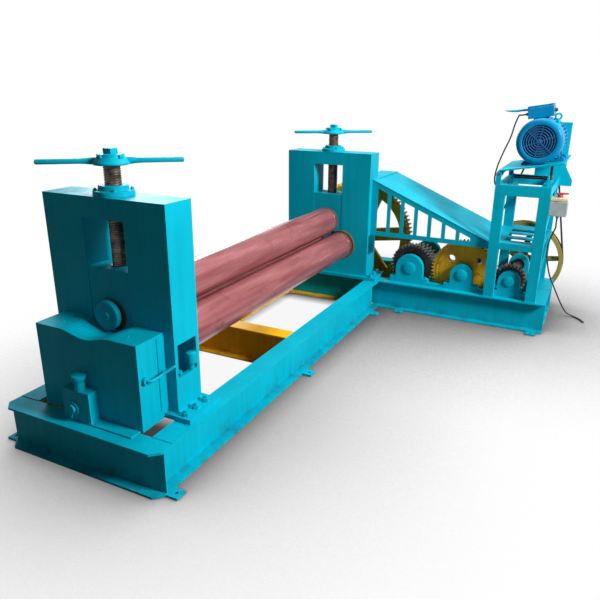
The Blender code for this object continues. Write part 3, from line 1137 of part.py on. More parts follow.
def build_guards():
    left = STAND_HALF_WIDTH + SEAT_GAP
    right = TOWER_LEFT - SEAT_GAP
    slots = []
    for i in range(GUARD_SLOTS):
        start = GUARD_SLOT_START + i * GUARD_SLOT_PITCH
        end = start + GUARD_SLOT_WIDTH
        slots.append([(start, GUARD_LOW + GUARD_BAR), (end, GUARD_LOW + GUARD_BAR),
                      (end, guard_top(end) - GUARD_RAIL), (start, guard_top(start) - GUARD_RAIL)])
    side = [(left, GUARD_LOW), (right, GUARD_LOW), (right, guard_top(right)), (left, guard_top(left))]
    guard = plate("gear_guard", [side] + slots, GUARD_WALL, "XZ", (0.0, GUARD_FRONT_Y + GUARD_WALL / 2, 0.0), CYAN)
    lip = [(left, guard_top(left) - GUARD_LIP), (right, guard_top(right) - GUARD_LIP),
           (right, guard_top(right)), (left, guard_top(left))]
    join(guard, plate("back_lip", [lip], GUARD_WALL, "XZ", (0.0, GUARD_BACK_Y - GUARD_WALL / 2, 0.0)))
    roof = [(left, guard_top(left) - GUARD_WALL), (right, guard_top(right) - GUARD_WALL),
            (right, guard_top(right) + 0.0005), (left, guard_top(left) + 0.0005)]
    depth = GUARD_BACK_Y - GUARD_FRONT_Y
    join(guard, plate("roof", [roof], depth + 0.006, "XZ", (0.0, GUARD_FRONT_Y + depth / 2, 0.0)))
    # Level roof strip behind the far stand
    behind = FAR_STAND_Y + STAND_THICK + SEAT_GAP
    join(guard, box("flat_roof", (GUARD_FLAT_X, behind, GUARD_TOP_LEFT - GUARD_WALL),
                    (left + 0.02, GUARD_BACK_Y + 0.002, GUARD_TOP_LEFT - 0.001)))

    low = TOWER_TOP - TOWER_BAR
    outline = [(BELT_GUARD_LEFT, low), (BELT_GUARD_FLARE, low), (BELT_GUARD_FLARE, low + 0.05),
               (BELT_GUARD_RIGHT, low + 0.16), (BELT_GUARD_RIGHT, BELT_GUARD_TOP), (BELT_GUARD_LEFT, BELT_GUARD_TOP)]
    plate("belt_guard", [outline, circle(MOTOR_X, MOTOR_Z, BELT_GUARD_HOLE)], BELT_GUARD_THICK, "XZ",
          (0.0, TOWER_BACK_Y + SEAT_GAP + BELT_GUARD_THICK / 2, 0.0), CYAN)


def build_electrics():
    left = TOWER_RIGHT + SEAT_GAP
    right = left + BOX_WIDTH
    back = BOX_FRONT_Y + BOX_DEPTH
    case = box("control_box", (left, BOX_FRONT_Y, BOX_LOW), (right, back, BOX_HIGH), GREY)
    middle = ((left + right) / 2, (BOX_FRONT_Y + back) / 2)
    join(case, rod("gland", (*middle, BOX_LOW), "Z", GLAND_RADIUS, 2 * GLAND_LENGTH, sides=12))
    knob_low = BOX_HIGH + SEAT_GAP
    knob = rod("switch_knob", (*middle, knob_low + KNOB_HEIGHT / 2), "Z", KNOB_RADIUS, KNOB_HEIGHT, RED, sides=20)
    x, y = middle
    join(knob, box("grip", (x - 0.03, y - 0.007, knob_low + 0.006), (x + KNOB_REACH, y + 0.007, knob_low + KNOB_HEIGHT + 0.018)))

    start = BOX_LOW - GLAND_LENGTH - SEAT_GAP
    supply = [(x, y, start), (x, y, start - CABLE_STEP), (x, y, start - 2 * CABLE_STEP),
              (1.876, y + 0.025, 0.800), (1.856, y + 0.070, 0.715), (1.856, y + 0.140, 0.600),
              (1.885, y + 0.240, 0.435), (1.931, y + 0.340, 0.299), (2.002, y + 0.440, 0.128),
              (2.052, y + 0.485, 0.040), (2.106, y + 0.492, 0.010), (2.160, y + 0.450, 0.0065),
              (2.205, y + 0.375, 0.0065)]
    points, length = smooth_route(supply, CABLE_STEP)
    print("supply cable length", round(length, 4))
    tube("supply_cable", points, CABLE_RADIUS, RUBBER)

    # Motor cable, from the terminal box gland round to the tower's left rail
    u = MOTOR_U - TERMINAL_HALF_WIDTH - GLAND_LENGTH - SEAT_GAP
    w = MOTOR_W + MOTOR_RADIUS + SADDLE_HEIGHT + SEAT_GAP + TERMINAL_HEIGHT * 0.4
    gland_y = (TERMINAL_FRONT_Y + TERMINAL_BACK_Y) / 2

    def tilted(a, b):
        return (HINGE_X + a * math.cos(TILT) - b * math.sin(TILT), gland_y,
                HINGE_Z + a * math.sin(TILT) + b * math.cos(TILT))

    end_x = TOWER_LEFT - SEAT_GAP
    end_y = gland_y - 0.090
    motor = [tilted(u, w), tilted(u - CABLE_STEP, w), tilted(u - 1.4 * CABLE_STEP, w),
             (1.466, gland_y - 0.005, 1.610), (1.446, gland_y - 0.015, 1.510), (1.408, gland_y - 0.040, 1.395),
             (1.381, gland_y - 0.062, 1.300), (1.368, gland_y - 0.078, 1.220), (1.370, gland_y - 0.087, 1.160),
             (end_x - CABLE_STEP, end_y, 1.130), (end_x, end_y, 1.130)]
    points, length = smooth_route(motor, CABLE_STEP)
    print("motor cable length", round(length, 4))
    tube("motor_cable", points, CABLE_RADIUS, RUBBER)


build_bed()
build_stands()
build_bushes()
build_rolls()
build_screw_down("near", STAND_Y, NEAR_BAR_TURN)
build_screw_down("far", FAR_STAND_Y, FAR_BAR_TURN)
build_cover()
build_gears()
build_bearings()
build_belt_drive()
build_tower()
build_motor()
build_guards()
build_electrics()
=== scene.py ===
import json
import math
import bmesh
import bpy
import numpy as np
from mathutils import Matrix, Vector


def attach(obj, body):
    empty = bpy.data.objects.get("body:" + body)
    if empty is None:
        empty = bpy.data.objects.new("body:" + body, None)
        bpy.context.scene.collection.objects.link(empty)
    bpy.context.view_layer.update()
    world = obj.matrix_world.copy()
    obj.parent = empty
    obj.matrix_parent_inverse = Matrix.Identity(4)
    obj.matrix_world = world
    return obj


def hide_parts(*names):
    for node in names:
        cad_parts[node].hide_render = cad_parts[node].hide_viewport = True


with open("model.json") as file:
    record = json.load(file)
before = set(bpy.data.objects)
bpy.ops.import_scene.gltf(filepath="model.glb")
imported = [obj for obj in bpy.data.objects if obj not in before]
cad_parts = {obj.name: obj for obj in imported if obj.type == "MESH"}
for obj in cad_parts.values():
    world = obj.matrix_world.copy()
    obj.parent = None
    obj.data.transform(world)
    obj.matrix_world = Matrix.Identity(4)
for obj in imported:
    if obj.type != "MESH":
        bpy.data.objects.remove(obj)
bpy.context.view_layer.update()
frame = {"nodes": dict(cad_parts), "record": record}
nodes = frame["nodes"]

# Camera at the photograph's place
cameraView = {"place": (2.1382, -1.8381, 1.8329), "yaw": 26.5317, "pitch": 19.2925, "roll": 0.448,
              "lens": 35.402}
yaw, pitch, roll = (math.radians(cameraView[key]) for key in ("yaw", "pitch", "roll"))
forward = Vector((-math.sin(yaw) * math.cos(pitch), math.cos(yaw) * math.cos(pitch), -math.sin(pitch)))
level = Vector((math.cos(yaw), math.sin(yaw), 0.0))
upward = level.cross(forward)
right = math.cos(roll) * level + math.sin(roll) * upward
top = -math.sin(roll) * level + math.cos(roll) * upward
cameraData = bpy.data.cameras.new("photoCamera")
cameraData.sensor_fit = "HORIZONTAL"
cameraData.sensor_width = 36.0
cameraData.lens = cameraView["lens"]
cameraData.clip_end = 60.0
camera = bpy.data.objects.new("photoCamera", cameraData)
turned = Matrix((right, top, -forward)).transposed().to_4x4()
camera.matrix_world = Matrix.Translation(cameraView["place"]) @ turned
bpy.context.scene.collection.objects.link(camera)
bpy.context.scene.camera = camera
print("camera placed")


# Finishes
def hexToLinear(text):
    """A web colour in linear light: v / 12.92 near black, ((v + 0.055) / 1.055) to the power 2.4 above."""
    values = [int(text[i:i + 2], 16) / 255 for i in (1, 3, 5)]
    return tuple(v / 12.92 if v <= 0.04045 else ((v + 0.055) / 1.055) ** 2.4 for v in values) + (1.0,)


def addNode(tree, kind, settings=None, inputs=None):
    """A node with its properties set, and its inputs linked or given values; a web colour is made linear."""
    node = tree.nodes.new(kind)
    for key, value in (settings or {}).items():
        setattr(node, key, value)
    for key, value in (inputs or {}).items():
        if isinstance(value, bpy.types.NodeSocket):
            tree.links.new(value, node.inputs[key])
        else:
            node.inputs[key].default_value = hexToLinear(value) if isinstance(value, str) else value
    return node


def startMaterial(name, roughness, metallic=0.0, coat=0.0, specular=0.5):
    """A Principled material with its constants on the shader's own sockets, and its Object coordinates."""
    mat = bpy.data.materials.new(name)
    mat.use_nodes = True
    tree = mat.node_tree
    shader = tree.nodes["Principled BSDF"]
    shader.inputs["Roughness"].default_value = roughness
    shader.inputs["Metallic"].default_value = metallic
    shader.inputs["Coat Weight"].default_value = coat
    shader.inputs["Coat Roughness"].default_value = 0.12
    shader.inputs["Specular IOR Level"].default_value = specular
    place = addNode(tree, "ShaderNodeTexCoord").outputs["Object"]
    return mat, tree, shader, place


def stretched(tree, place, scale):
    """Coordinates times a scale for each axis, so that a pattern runs long one way."""
    return addNode(tree, "ShaderNodeMapping", inputs={"Vector": place, "Scale": scale}).outputs["Vector"]


def splitAxes(tree, place):
    """The coordinates' x, y and z, each by itself."""
    return addNode(tree, "ShaderNodeSeparateXYZ", inputs={"Vector": place}).outputs


def noise(tree, place, scale, detail=3.0, rough=0.5):
    """Fractal noise of the coordinates, about 0 to 1."""
    return addNode(tree, "ShaderNodeTexNoise", inputs={"Vector": place, "Scale": scale, "Detail": detail,
                                                       "Roughness": rough}).outputs["Fac"]


def ramp(tree, value, low, high):
    """The value between low and high, as 0 to 1."""
    limits = {"Value": value, "From Min": low, "From Max": high}
    return addNode(tree, "ShaderNodeMapRange", inputs=limits).outputs["Result"]


def blendColours(tree, factor, first, second):
    """The first colour times (1 - factor), plus the second times the factor."""
    return addNode(tree, "ShaderNodeMix", {"data_type": "RGBA"}, {0: factor, 6: first, 7: second}).outputs[2]


def maths(tree, kind, first, second=0.0, third=0.0):
    """One arithmetic step on up to three values."""
    return addNode(tree, "ShaderNodeMath", {"operation": kind}, {0: first, 1: second, 2: third}).outputs[0]


def bump(tree, shader, height, distance, strength=1.0):
    """The shading normal, tilted by the slope of a height."""
    relief = {"Height": height, "Distance": distance, "Strength": strength}
    tree.links.new(addNode(tree, "ShaderNodeBump", inputs=relief).outputs["Normal"], shader.inputs["Normal"])


def enamelColour(tree, place, clean, deep, worn):
    """Brushed-on enamel: slow drifts of shade, runs down the plate, and a few chips to dark primer."""
    drift = noise(tree, place, 2.2)
    runs = noise(tree, stretched(tree, place, (30.0, 30.0, 1.6)), 1.0)
    shade = maths(tree, "MULTIPLY_ADD", runs, 0.35, maths(tree, "MULTIPLY", drift, 0.65))
    body = blendColours(tree, ramp(tree, shade, 0.36, 0.66), deep, clean)
    chips = ramp(tree, noise(tree, place, 34.0, 6.0, 0.62), 0.7, 0.74)
    return blendColours(tree, maths(tree, "MULTIPLY", chips, 0.75), body, worn)


def darkenTowardsFloor(tree, place, colour, lowColour, height):
    """The colour darkened towards the floor, broken up by noise."""
    near = ramp(tree, splitAxes(tree, place)["Z"], height, 0.0)
    patch = ramp(tree, noise(tree, place, 9.0, 5.0, 0.6), 0.42, 0.72)
    amount = maths(tree, "MULTIPLY", maths(tree, "MULTIPLY", near, patch), 0.55)
    return blendColours(tree, amount, colour, lowColour)


def makeEnamel(name, clean, deep, worn, roughness=0.5, coat=0.01):
    """Alkyd enamel brushed over steel plate: satin, with brush drag about 4 mm apart and an orange peel."""
    mat, tree, shader, place = startMaterial(name, roughness, coat=coat, specular=0.08)
    colour = enamelColour(tree, place, clean, deep, worn)
    # darker towards the floor, in patches
    colour = darkenTowardsFloor(tree, place, colour, "#1E3438", 0.14)
    tree.links.new(colour, shader.inputs["Base Color"])
    gloss = ramp(tree, noise(tree, place, 7.0, 4.0), 0.3, 0.75)
    tree.links.new(maths(tree, "MULTIPLY_ADD", gloss, 0.16, roughness - 0.06), shader.inputs["Roughness"])
    drag = noise(tree, stretched(tree, place, (240.0, 240.0, 18.0)), 1.0, 2.0)
    bump(tree, shader, maths(tree, "ADD", drag, noise(tree, place, 320.0, 2.0)), 0.0004, 0.35)
    return mat


def makeBedEnamel(cyan, yellow):
    """The beams' two coats: cyan outside, mustard yellow on the webs and flanges that face inwards."""
    mat, tree, shader, place = startMaterial("twoCoatBeamEnamel", 0.5, coat=0.01, specular=0.08)
    outside = enamelColour(tree, place, *cyan)
    inside = enamelColour(tree, place, *yellow)
    x, y, z = (splitAxes(tree, place)[key] for key in ("X", "Y", "Z"))

    def between(value, low, high):
        """1 where the value is above low and below high, and 0 elsewhere."""
        above = maths(tree, "GREATER_THAN", value, low)
        return maths(tree, "MULTIPLY", above, maths(tree, "LESS_THAN", value, high))

    underTop = maths(tree, "LESS_THAN", z, 0.2372)  # below the beams' top flanges
    bed = maths(tree, "MULTIPLY", between(x, -0.4496, 0.4496), between(y, 0.0045, 3.048))
    base = maths(tree, "MULTIPLY", between(x, -0.4496, 1.841), between(y, 3.057, 3.727))
    cross = maths(tree, "MULTIPLY", between(x, -0.3905, 0.3905), between(y, 1.4, 1.63))
    inner = maths(tree, "MULTIPLY", underTop, maths(tree, "MAXIMUM", bed, base))
    inner = maths(tree, "MAXIMUM", inner, cross)
    colour = blendColours(tree, inner, outside, inside)
    # darker towards the floor, in patches
    colour = darkenTowardsFloor(tree, place, colour, "#2A3230", 0.1)
    tree.links.new(colour, shader.inputs["Base Color"])
    drag = noise(tree, stretched(tree, place, (40.0, 40.0, 220.0)), 1.0, 2.0)
    bump(tree, shader, maths(tree, "ADD", drag, noise(tree, place, 300.0, 2.0)), 0.0004, 0.35)
    return mat


def makeRollCoat():
    """Turned roll under a thin red-brown protective coat: lathe rings 3 mm apart, and wiped patches."""
    mat, tree, shader, place = startMaterial("rollProtectiveCoat", 0.42, 0.2, 0.04, 0.25)
    wiped = noise(tree, stretched(tree, place, (14.0, 1.4, 14.0)), 1.0, 4.0, 0.6)
    colour = blendColours(tree, ramp(tree, wiped, 0.33, 0.68), "#8A4548", "#AE6E70")
    stain = ramp(tree, noise(tree, place, 5.0, 5.0, 0.65), 0.58, 0.74)
    colour = blendColours(tree, maths(tree, "MULTIPLY", stain, 0.6), colour, "#6A3236")
    collar = ramp(tree, splitAxes(tree, place)["Y"], 2.895, 2.915)  # a darker band by the far stand
    colour = blendColours(tree, maths(tree, "MULTIPLY", collar, 0.55), colour, "#5A2C30")
    tree.links.new(colour, shader.inputs["Base Color"])
    tree.links.new(ramp(tree, wiped, 0.0, 2.2), shader.inputs["Roughness"])
    rings = addNode(tree, "ShaderNodeTexWave", {"bands_direction": "Y"},
                    {"Vector": place, "Scale": 52.0, "Distortion": 0.4, "Detail": 1.0}).outputs["Fac"]
    bump(tree, shader, rings, 0.0003, 0.3)
    return mat


def makeSteel(name, bright, dark, roughness, grease):
    """Oiled machine steel: lathe-turned bands about 1 mm apart, browned and greased in patches."""
    mat, tree, shader, place = startMaterial(name, roughness, metallic=0.9 - 0.5 * grease)
    patch = ramp(tree, noise(tree, place, 24.0, 5.0, 0.65), 0.38, 0.66)
    colour = blendColours(tree, patch, bright, dark)
    tree.links.new(colour, shader.inputs["Base Color"])
    tree.links.new(maths(tree, "MULTIPLY_ADD", patch, 0.18, roughness - 0.06), shader.inputs["Roughness"])
    bump(tree, shader, noise(tree, stretched(tree, place, (60.0, 60.0, 420.0)), 1.0, 2.0), 0.0003, 0.4)
    return mat


def makeYellowCast():
    """Cast gear bodies under mustard enamel, with dark grease flung over them in specks and smears."""
    mat, tree, shader, place = startMaterial("mustardGearEnamel", 0.45, coat=0.04, specular=0.25)
    colour = enamelColour(tree, place, "#FFC41E", "#D89C10", "#3A2A12")
    smear = ramp(tree, noise(tree, place, 11.0, 6.0, 0.7), 0.54, 0.66)
    colour = blendColours(tree, maths(tree, "MULTIPLY", smear, 0.62), colour, "#3C2C14")
    tree.links.new(colour, shader.inputs["Base Color"])
    bump(tree, shader, noise(tree, place, 160.0, 4.0, 0.6), 0.0008, 0.45)
    return mat


def makeMoulded(name, colour, shade, roughness):
    """Moulded polymer: even colour with a faint cloud and a fine 1 mm grain."""
    mat, tree, shader, place = startMaterial(name, roughness)
    cloud = noise(tree, place, 30.0)
    tree.links.new(blendColours(tree, ramp(tree, cloud, 0.35, 0.7), colour, shade),
                   shader.inputs["Base Color"])
    bump(tree, shader, noise(tree, place, 900.0, 2.0), 0.0002, 0.3)
    return mat


cyanTones = ("#00B6CE", "#00A2BA", "#0A3A42")
yellowTones = ("#FFC820", "#E8AC12", "#6A5018")
cyanEnamel = makeEnamel("cyanShopEnamel", *cyanTones)
bedEnamel = makeBedEnamel(cyanTones, yellowTones)
yellowEnamel = makeYellowCast()
rollCoat = makeRollCoat()
screwSteel = makeSteel("oiledScrewSteel", "#6E6054", "#2A221E", 0.46, 0.6)
gearSteel = makeSteel("greasedGearSteel", "#3E3A34", "#191612", 0.34, 0.7)
bearingBronze = makeSteel("bearingBronze", "#9A7440", "#5E4526", 0.38, 0.4)
oliveEnamel = makeEnamel("oliveWheelEnamel", "#B4A052", "#8A7A3A", "#3E3818", 0.45, 0.04)
motorEnamel = makeEnamel("blueMotorEnamel", "#008CBE", "#0074A6", "#0A2E48", 0.38, 0.08)
beltRubber = makeMoulded("beltRubber", "#2A241E", "#3A3128", 0.75)
cableRubber = makeMoulded("cableSheathRubber", "#2A2C2C", "#3A3D3C", 0.6)
boxPlastic = makeMoulded("greyEnclosurePlastic", "#A8B4B4", "#98A4A4", 0.5)
creamPlastic = makeMoulded("creamLidPlastic", "#E4D8B0", "#D6C89C", 0.45)
redPlastic = makeMoulded("redKnobPlastic", "#C0404A", "#A8323C", 0.4)
# the grille's blue is darker than the motor's: painted shade of the fan cover's recessed face
grilleEnamel = makeMoulded("shadeDarkenedGrillePaint", "#0A6098", "#085080", 0.8)
# darker blue for painted shade, used on the disc behind the fan grille
ventShadePaint = makeMoulded("shadowedVentPaint", "#08507E", "#06406A", 0.85)
# near-black paint for painted shade, used on the disc behind the top roll's end disc
recessShadePaint = makeMoulded("paintedRecessShade", "#06181A", "#020C0E", 0.8)
print("materials made")

finishes = {"cyan_paint": cyanEnamel, "yellow_paint": yellowEnamel, "roll_primer": rollCoat,
            "machined_steel": screwSteel, "greased_steel": gearSteel, "bronze": bearingBronze,
            "olive_paint": oliveEnamel, "motor_paint": motorEnamel, "rubber": beltRubber,
            "box_plastic": boxPlastic, "red_plastic": redPlastic}
slotOfNode = {entry["node"]: entry["material_slot"] for entry in frame["record"]["subparts"]}
for nodeName, obj in nodes.items():
    finish = bedEnamel if nodeName.startswith(("bed_", "base_")) else finishes[slotOfNode[nodeName]]
    obj.data.materials.clear()
    obj.data.materials.append(finish)


# Edges of the plates and castings that keep their CAD shape
def bevelEdges(obj, width, angle):
    """Edges sharper than the angle, rounded in two steps."""
    edge = obj.modifiers.new("edge", "BEVEL")
    edge.width = width
    edge.segments = 2
    edge.limit_method = "ANGLE"
    edge.angle_limit = math.radians(angle)


def softenEdges(obj, width):
    """Loose triangles welded, flat areas cleared of their triangles, then the sharp edges rounded."""
    weld = obj.modifiers.new("weld", "WELD")
    weld.merge_threshold = 0.00005
    flat = obj.modifiers.new("flat", "DECIMATE")
    flat.decimate_type = "DISSOLVE"
    flat.angle_limit = math.radians(0.5)
    bevelEdges(obj, width, 40)


edgeWidths = ((0.005, ("clamp_bracket",)),
              (0.004, ("near_stand", "far_stand", "near_top_block", "far_top_block")),
              (0.003, ("front_bearing_plate", "rear_bearing_plate")),
              (0.002, ("bed_near_beam", "bed_left_beam", "bed_right_beam", "bed_cross_beam", "base_front_beam",
                       "base_rear_beam", "base_end_beam", "base_left_beam", "roll_end_cover", "tower_frame",
                       "motor_platform")),
              (0.0015, ("bull_gear",)), (0.0012, ("gear_guard", "gear_2")), (0.001, ("belt_guard", "gear_1")))
for width, names in edgeWidths:
    for nodeName in names:
        softenEdges(nodes[nodeName], width)
print("plate edges rounded")


# Surfaces worked out on grids
def gridFaces(rows, cols, closeRows, closeCols):
    """Four-cornered faces between neighbouring grid points, wrapping round where the grid is closed."""
    index = np.arange(rows * cols).reshape(rows, cols)
    below = np.roll(index, -1, 0) if closeRows else index[1:]
    here = index if closeRows else index[:-1]
    if closeCols:
        nextHere, nextBelow = np.roll(here, -1, 1), np.roll(below, -1, 1)
    else:
        here, nextHere, below, nextBelow = here[:, :-1], here[:, 1:], below[:, :-1], below[:, 1:]
    return np.stack([here, nextHere, nextBelow, below], -1).reshape(-1, 4).tolist()


def cappedFaces(rows, cols):
    """Faces of a tube's grid, and a many-sided face over its first row and its last."""
    last = (rows - 1) * cols
    ends = [list(range(cols - 1, -1, -1)), list(range(last, last + cols))]
    return gridFaces(rows, cols, False, True) + ends


def circle(count):
    """Angles in even steps round a full turn."""
    return np.arange(count) / count * math.tau


def finishMesh(obj, crease):
    """Doubled points joined, faces turned outwards, edges past the angle kept sharp."""
    bm = bmesh.new()
    bm.from_mesh(obj.data)
    bmesh.ops.remove_doubles(bm, verts=bm.verts, dist=0.000002)
    bmesh.ops.recalc_face_normals(bm, faces=bm.faces)
    bm.to_mesh(obj.data)
    bm.free()
    obj.data.shade_smooth()
    obj.data.set_sharp_from_angle(angle=math.radians(crease))


def makePiece(name, material, parts, body="frame", replaced=(), bevel=0.0, crease=35):
    """One object from several (points, faces) shapes, on its body."""
    points, faces, base = [], [], 0
    for shapePoints, shapeFaces in parts:
        points.append(np.asarray(shapePoints, float).reshape(-1, 3))
        faces.extend([[int(i) + base for i in face] for face in shapeFaces])
        base += len(points[-1])
    mesh = bpy.data.meshes.new(name)
    mesh.from_pydata(np.concatenate(points).tolist(), [], faces)
    mesh.materials.append(material)
    obj = bpy.data.objects.new(name, mesh)
    bpy.context.scene.collection.objects.link(obj)
    finishMesh(obj, crease)
    if bevel:
        bevelEdges(obj, bevel, 35)
    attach(obj, body)
    if replaced:
        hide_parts(*replaced)
    return obj


def toAxis(points, axis):
    """Points made about +Z, turned to lie about another axis."""
    x, y, z = points[..., 0], points[..., 1], points[..., 2]
    if axis == "Y":
        return np.stack([x, z, -y], -1)
    if axis == "X":
        return np.stack([z, y, -x], -1)
    return points


def spunShape(profile, centre, axis, sides, closed):
    """Radius and height pairs spun about the axis: x = r cos a, y = r sin a, z = h, as one array."""
    radius, height = np.array(profile, float).T
    angle = circle(sides)
    points = np.stack([radius[:, None] * np.cos(angle), radius[:, None] * np.sin(angle),
                       height[:, None] + 0 * angle], -1)
    return toAxis(points, axis) + centre, gridFaces(len(profile), sides, closed, True)


def turnedShape(profile, centre, axis="Z", sides=72):
    """The spin of an open profile, as of a shaft or a cap."""
    return spunShape(profile, centre, axis, sides, False)


def ringShape(profile, centre, axis="Z", sides=72):
    """The spin of a closed profile, as of a ring or a bush."""
    return spunShape(profile, centre, axis, sides, True)


def blockShape(low, high):
    """The eight corners and six faces of a box."""
    x, y, z = np.meshgrid(*[(a, b) for a, b in zip(low, high)], indexing="ij")
    points = np.stack([x, y, z], -1).reshape(-1, 3)
    return points, [[0, 1, 3, 2], [4, 6, 7, 5], [0, 4, 5, 1], [2, 3, 7, 6], [0, 2, 6, 4], [1, 5, 7, 3]]


def hexShape(centre, radius, height):
    """A hexagon head or nut: six corners below and six above."""
    angle = circle(6)
    ring = np.stack([radius * np.cos(angle), radius * np.sin(angle), 0 * angle], -1)
    points = np.concatenate([ring, ring + [0, 0, height]]) + centre
    sides = [[i, (i + 1) % 6, (i + 1) % 6 + 6, i + 6] for i in range(6)]
    return points, sides + [list(range(5, -1, -1)), list(range(6, 12))]


def carryFrames(path, closed=False):
    """Two directions square to a path at each point, turned as little as possible along it."""
    path = np.asarray(path, float)
    if closed:
        tangent = np.roll(path, -1, 0) - np.roll(path, 1, 0)
    else:
        tangent = np.gradient(path, axis=0)
    tangent /= np.linalg.norm(tangent, axis=1)[:, None]
    guide = np.array([0.0, 0.0, 1.0]) if abs(tangent[0][2]) < 0.9 else np.array([1.0, 0.0, 0.0])
    side = np.cross(tangent, guide)
    side /= np.linalg.norm(side, axis=1)[:, None]
    return side, np.cross(side, tangent)


def tubeShape(path, radius, sides=16, closed=False):
    """A circle carried along a path; the radius may change from point to point."""
    path = np.asarray(path, float)
    side, up = carryFrames(path, closed)
    radius = np.broadcast_to(np.asarray(radius, float), (len(path),))
    angle = circle(sides)
    points = (path[:, None] + radius[:, None, None] * (np.cos(angle)[None, :, None] * side[:, None]
                                                       + np.sin(angle)[None, :, None] * up[:, None]))
    return points, gridFaces(len(path), sides, True, True) if closed else cappedFaces(len(path), sides)


def smoothRoute(route, spacing):
    """A Catmull-Rom curve through the route, read at even steps along its length."""
    knots = np.array(route, float)
    knots = np.vstack([2 * knots[0] - knots[1], knots, 2 * knots[-1] - knots[-2]])
    t = (np.arange(20) / 20)[:, None]
    fine = []
    for before, start, end, after in zip(knots, knots[1:], knots[2:], knots[3:]):
        fine.append(0.5 * (2 * start + (end - before) * t + (2 * before - 5 * start + 4 * end - after) * t ** 2
                           + (3 * start - before - 3 * end + after) * t ** 3))
    fine = np.vstack(fine + [knots[-2:-1]])
    walked = np.concatenate([[0], np.cumsum(np.linalg.norm(np.diff(fine, axis=0), axis=1))])
    steps = np.linspace(0, walked[-1], int(round(walked[-1] / spacing)) + 1)
    return np.stack([np.interp(steps, walked, fine[:, i]) for i in range(3)], -1), float(walked[-1])


# Cables
supply = {"radius": 0.006, "step": 0.008,
          "route": [(1.8943, 3.06, 0.9357), (1.8943, 3.06, 0.8997), (1.8943, 3.06, 0.8637),
                    (1.876, 3.085, 0.8), (1.856, 3.13, 0.715), (1.856, 3.2, 0.6), (1.885, 3.3, 0.435),
                    (1.931, 3.4, 0.299), (2.002, 3.5, 0.128), (2.052, 3.545, 0.04), (2.106, 3.552, 0.01),
                    (2.16, 3.51, 0.0065), (2.205, 3.435, 0.0065)]}
supplyPath, supplyLength = smoothRoute(supply["route"], supply["step"])
supplyCable = makePiece("supplyCableSheath", cableRubber, [tubeShape(supplyPath, supply["radius"], 14)],
                        "frame", ["supply_cable"])

hinge = {"x": 1.4361, "z": 1.2475, "tilt": math.radians(9.5)}
cosTilt, sinTilt = math.cos(hinge["tilt"]), math.sin(hinge["tilt"])


def tilted(points):
    """Points of the motor platform's own frame (along the plate, across, square to it) put in place."""
    points = np.asarray(points, float)
    along, across, square = points[..., 0], points[..., 1], points[..., 2]
    return np.stack([hinge["x"] + along * cosTilt - square * sinTilt, across,
                     hinge["z"] + along * sinTilt + square * cosTilt], -1)


def tiltedShape(shape):
    """A shape of the platform's own frame, put in place."""
    return tilted(shape[0]), shape[1]


def makeTilted(name, material, shapes, **options):
    """A piece of the motor platform, from shapes of the platform's own frame."""
    makePiece(name, material, [tiltedShape(shape) for shape in shapes], "motor_platform", **options)


boxGland = tilted((0.1727, 3.36, 0.4138))
motorRoute = [tuple(boxGland), tuple(tilted((0.1367, 3.36, 0.4138))), tuple(tilted((0.1223, 3.36, 0.4138))),
              (1.466, 3.355, 1.61), (1.446, 3.345, 1.51), (1.408, 3.32, 1.395), (1.381, 3.298, 1.3),
              (1.368, 3.282, 1.22), (1.37, 3.273, 1.16), (1.3837, 3.27, 1.13), (1.4197, 3.27, 1.13)]
motorPath, motorLength = smoothRoute(motorRoute, supply["step"])  # the same cable as the supply's
motorCable = makePiece("motorCableSheath", cableRubber, [tubeShape(motorPath, supply["radius"], 14)],
                       "frame", ["motor_cable"])
print("cables laid", round(supplyLength, 3), round(motorLength, 3))

# Rolls
rolls = {"radius": 0.1175, "near": 0.492, "far": 2.962, "sides": 128, "lowerX": 0.142, "lowerZ": 0.543,
         "topZ": 0.753, "topJournal": 0.05, "lowerJournal": 0.062}
lowerX, lowerZ = rolls["lowerX"], rolls["lowerZ"]
topZ, lowerJournal = rolls["topZ"], rolls["lowerJournal"]
stands = {"near": 0.273, "far": 2.981, "thick": 0.2}  # front faces, and depth along Y


def rollShape(x, z, journal, nearEnd, farEnd):
    """The roll's outer side from end to end, with chamfers and a shallow relief beside the far collar."""
    big, near, far = rolls["radius"], rolls["near"], rolls["far"]
    profile = [(0, nearEnd), (journal - 0.003, nearEnd), (journal, nearEnd + 0.003), (journal, near),
               (big - 0.008, near), (big, near + 0.008), (big, far - 0.062), (big - 0.0015, far - 0.06),
               (big - 0.0015, far - 0.054), (big, far - 0.052), (big, far - 0.008), (big - 0.008, far),
               (journal, far), (journal, farEnd - 0.003), (journal - 0.003, farEnd), (0, farEnd)]
    return turnedShape(profile, (x, 0, z), "Y", rolls["sides"])


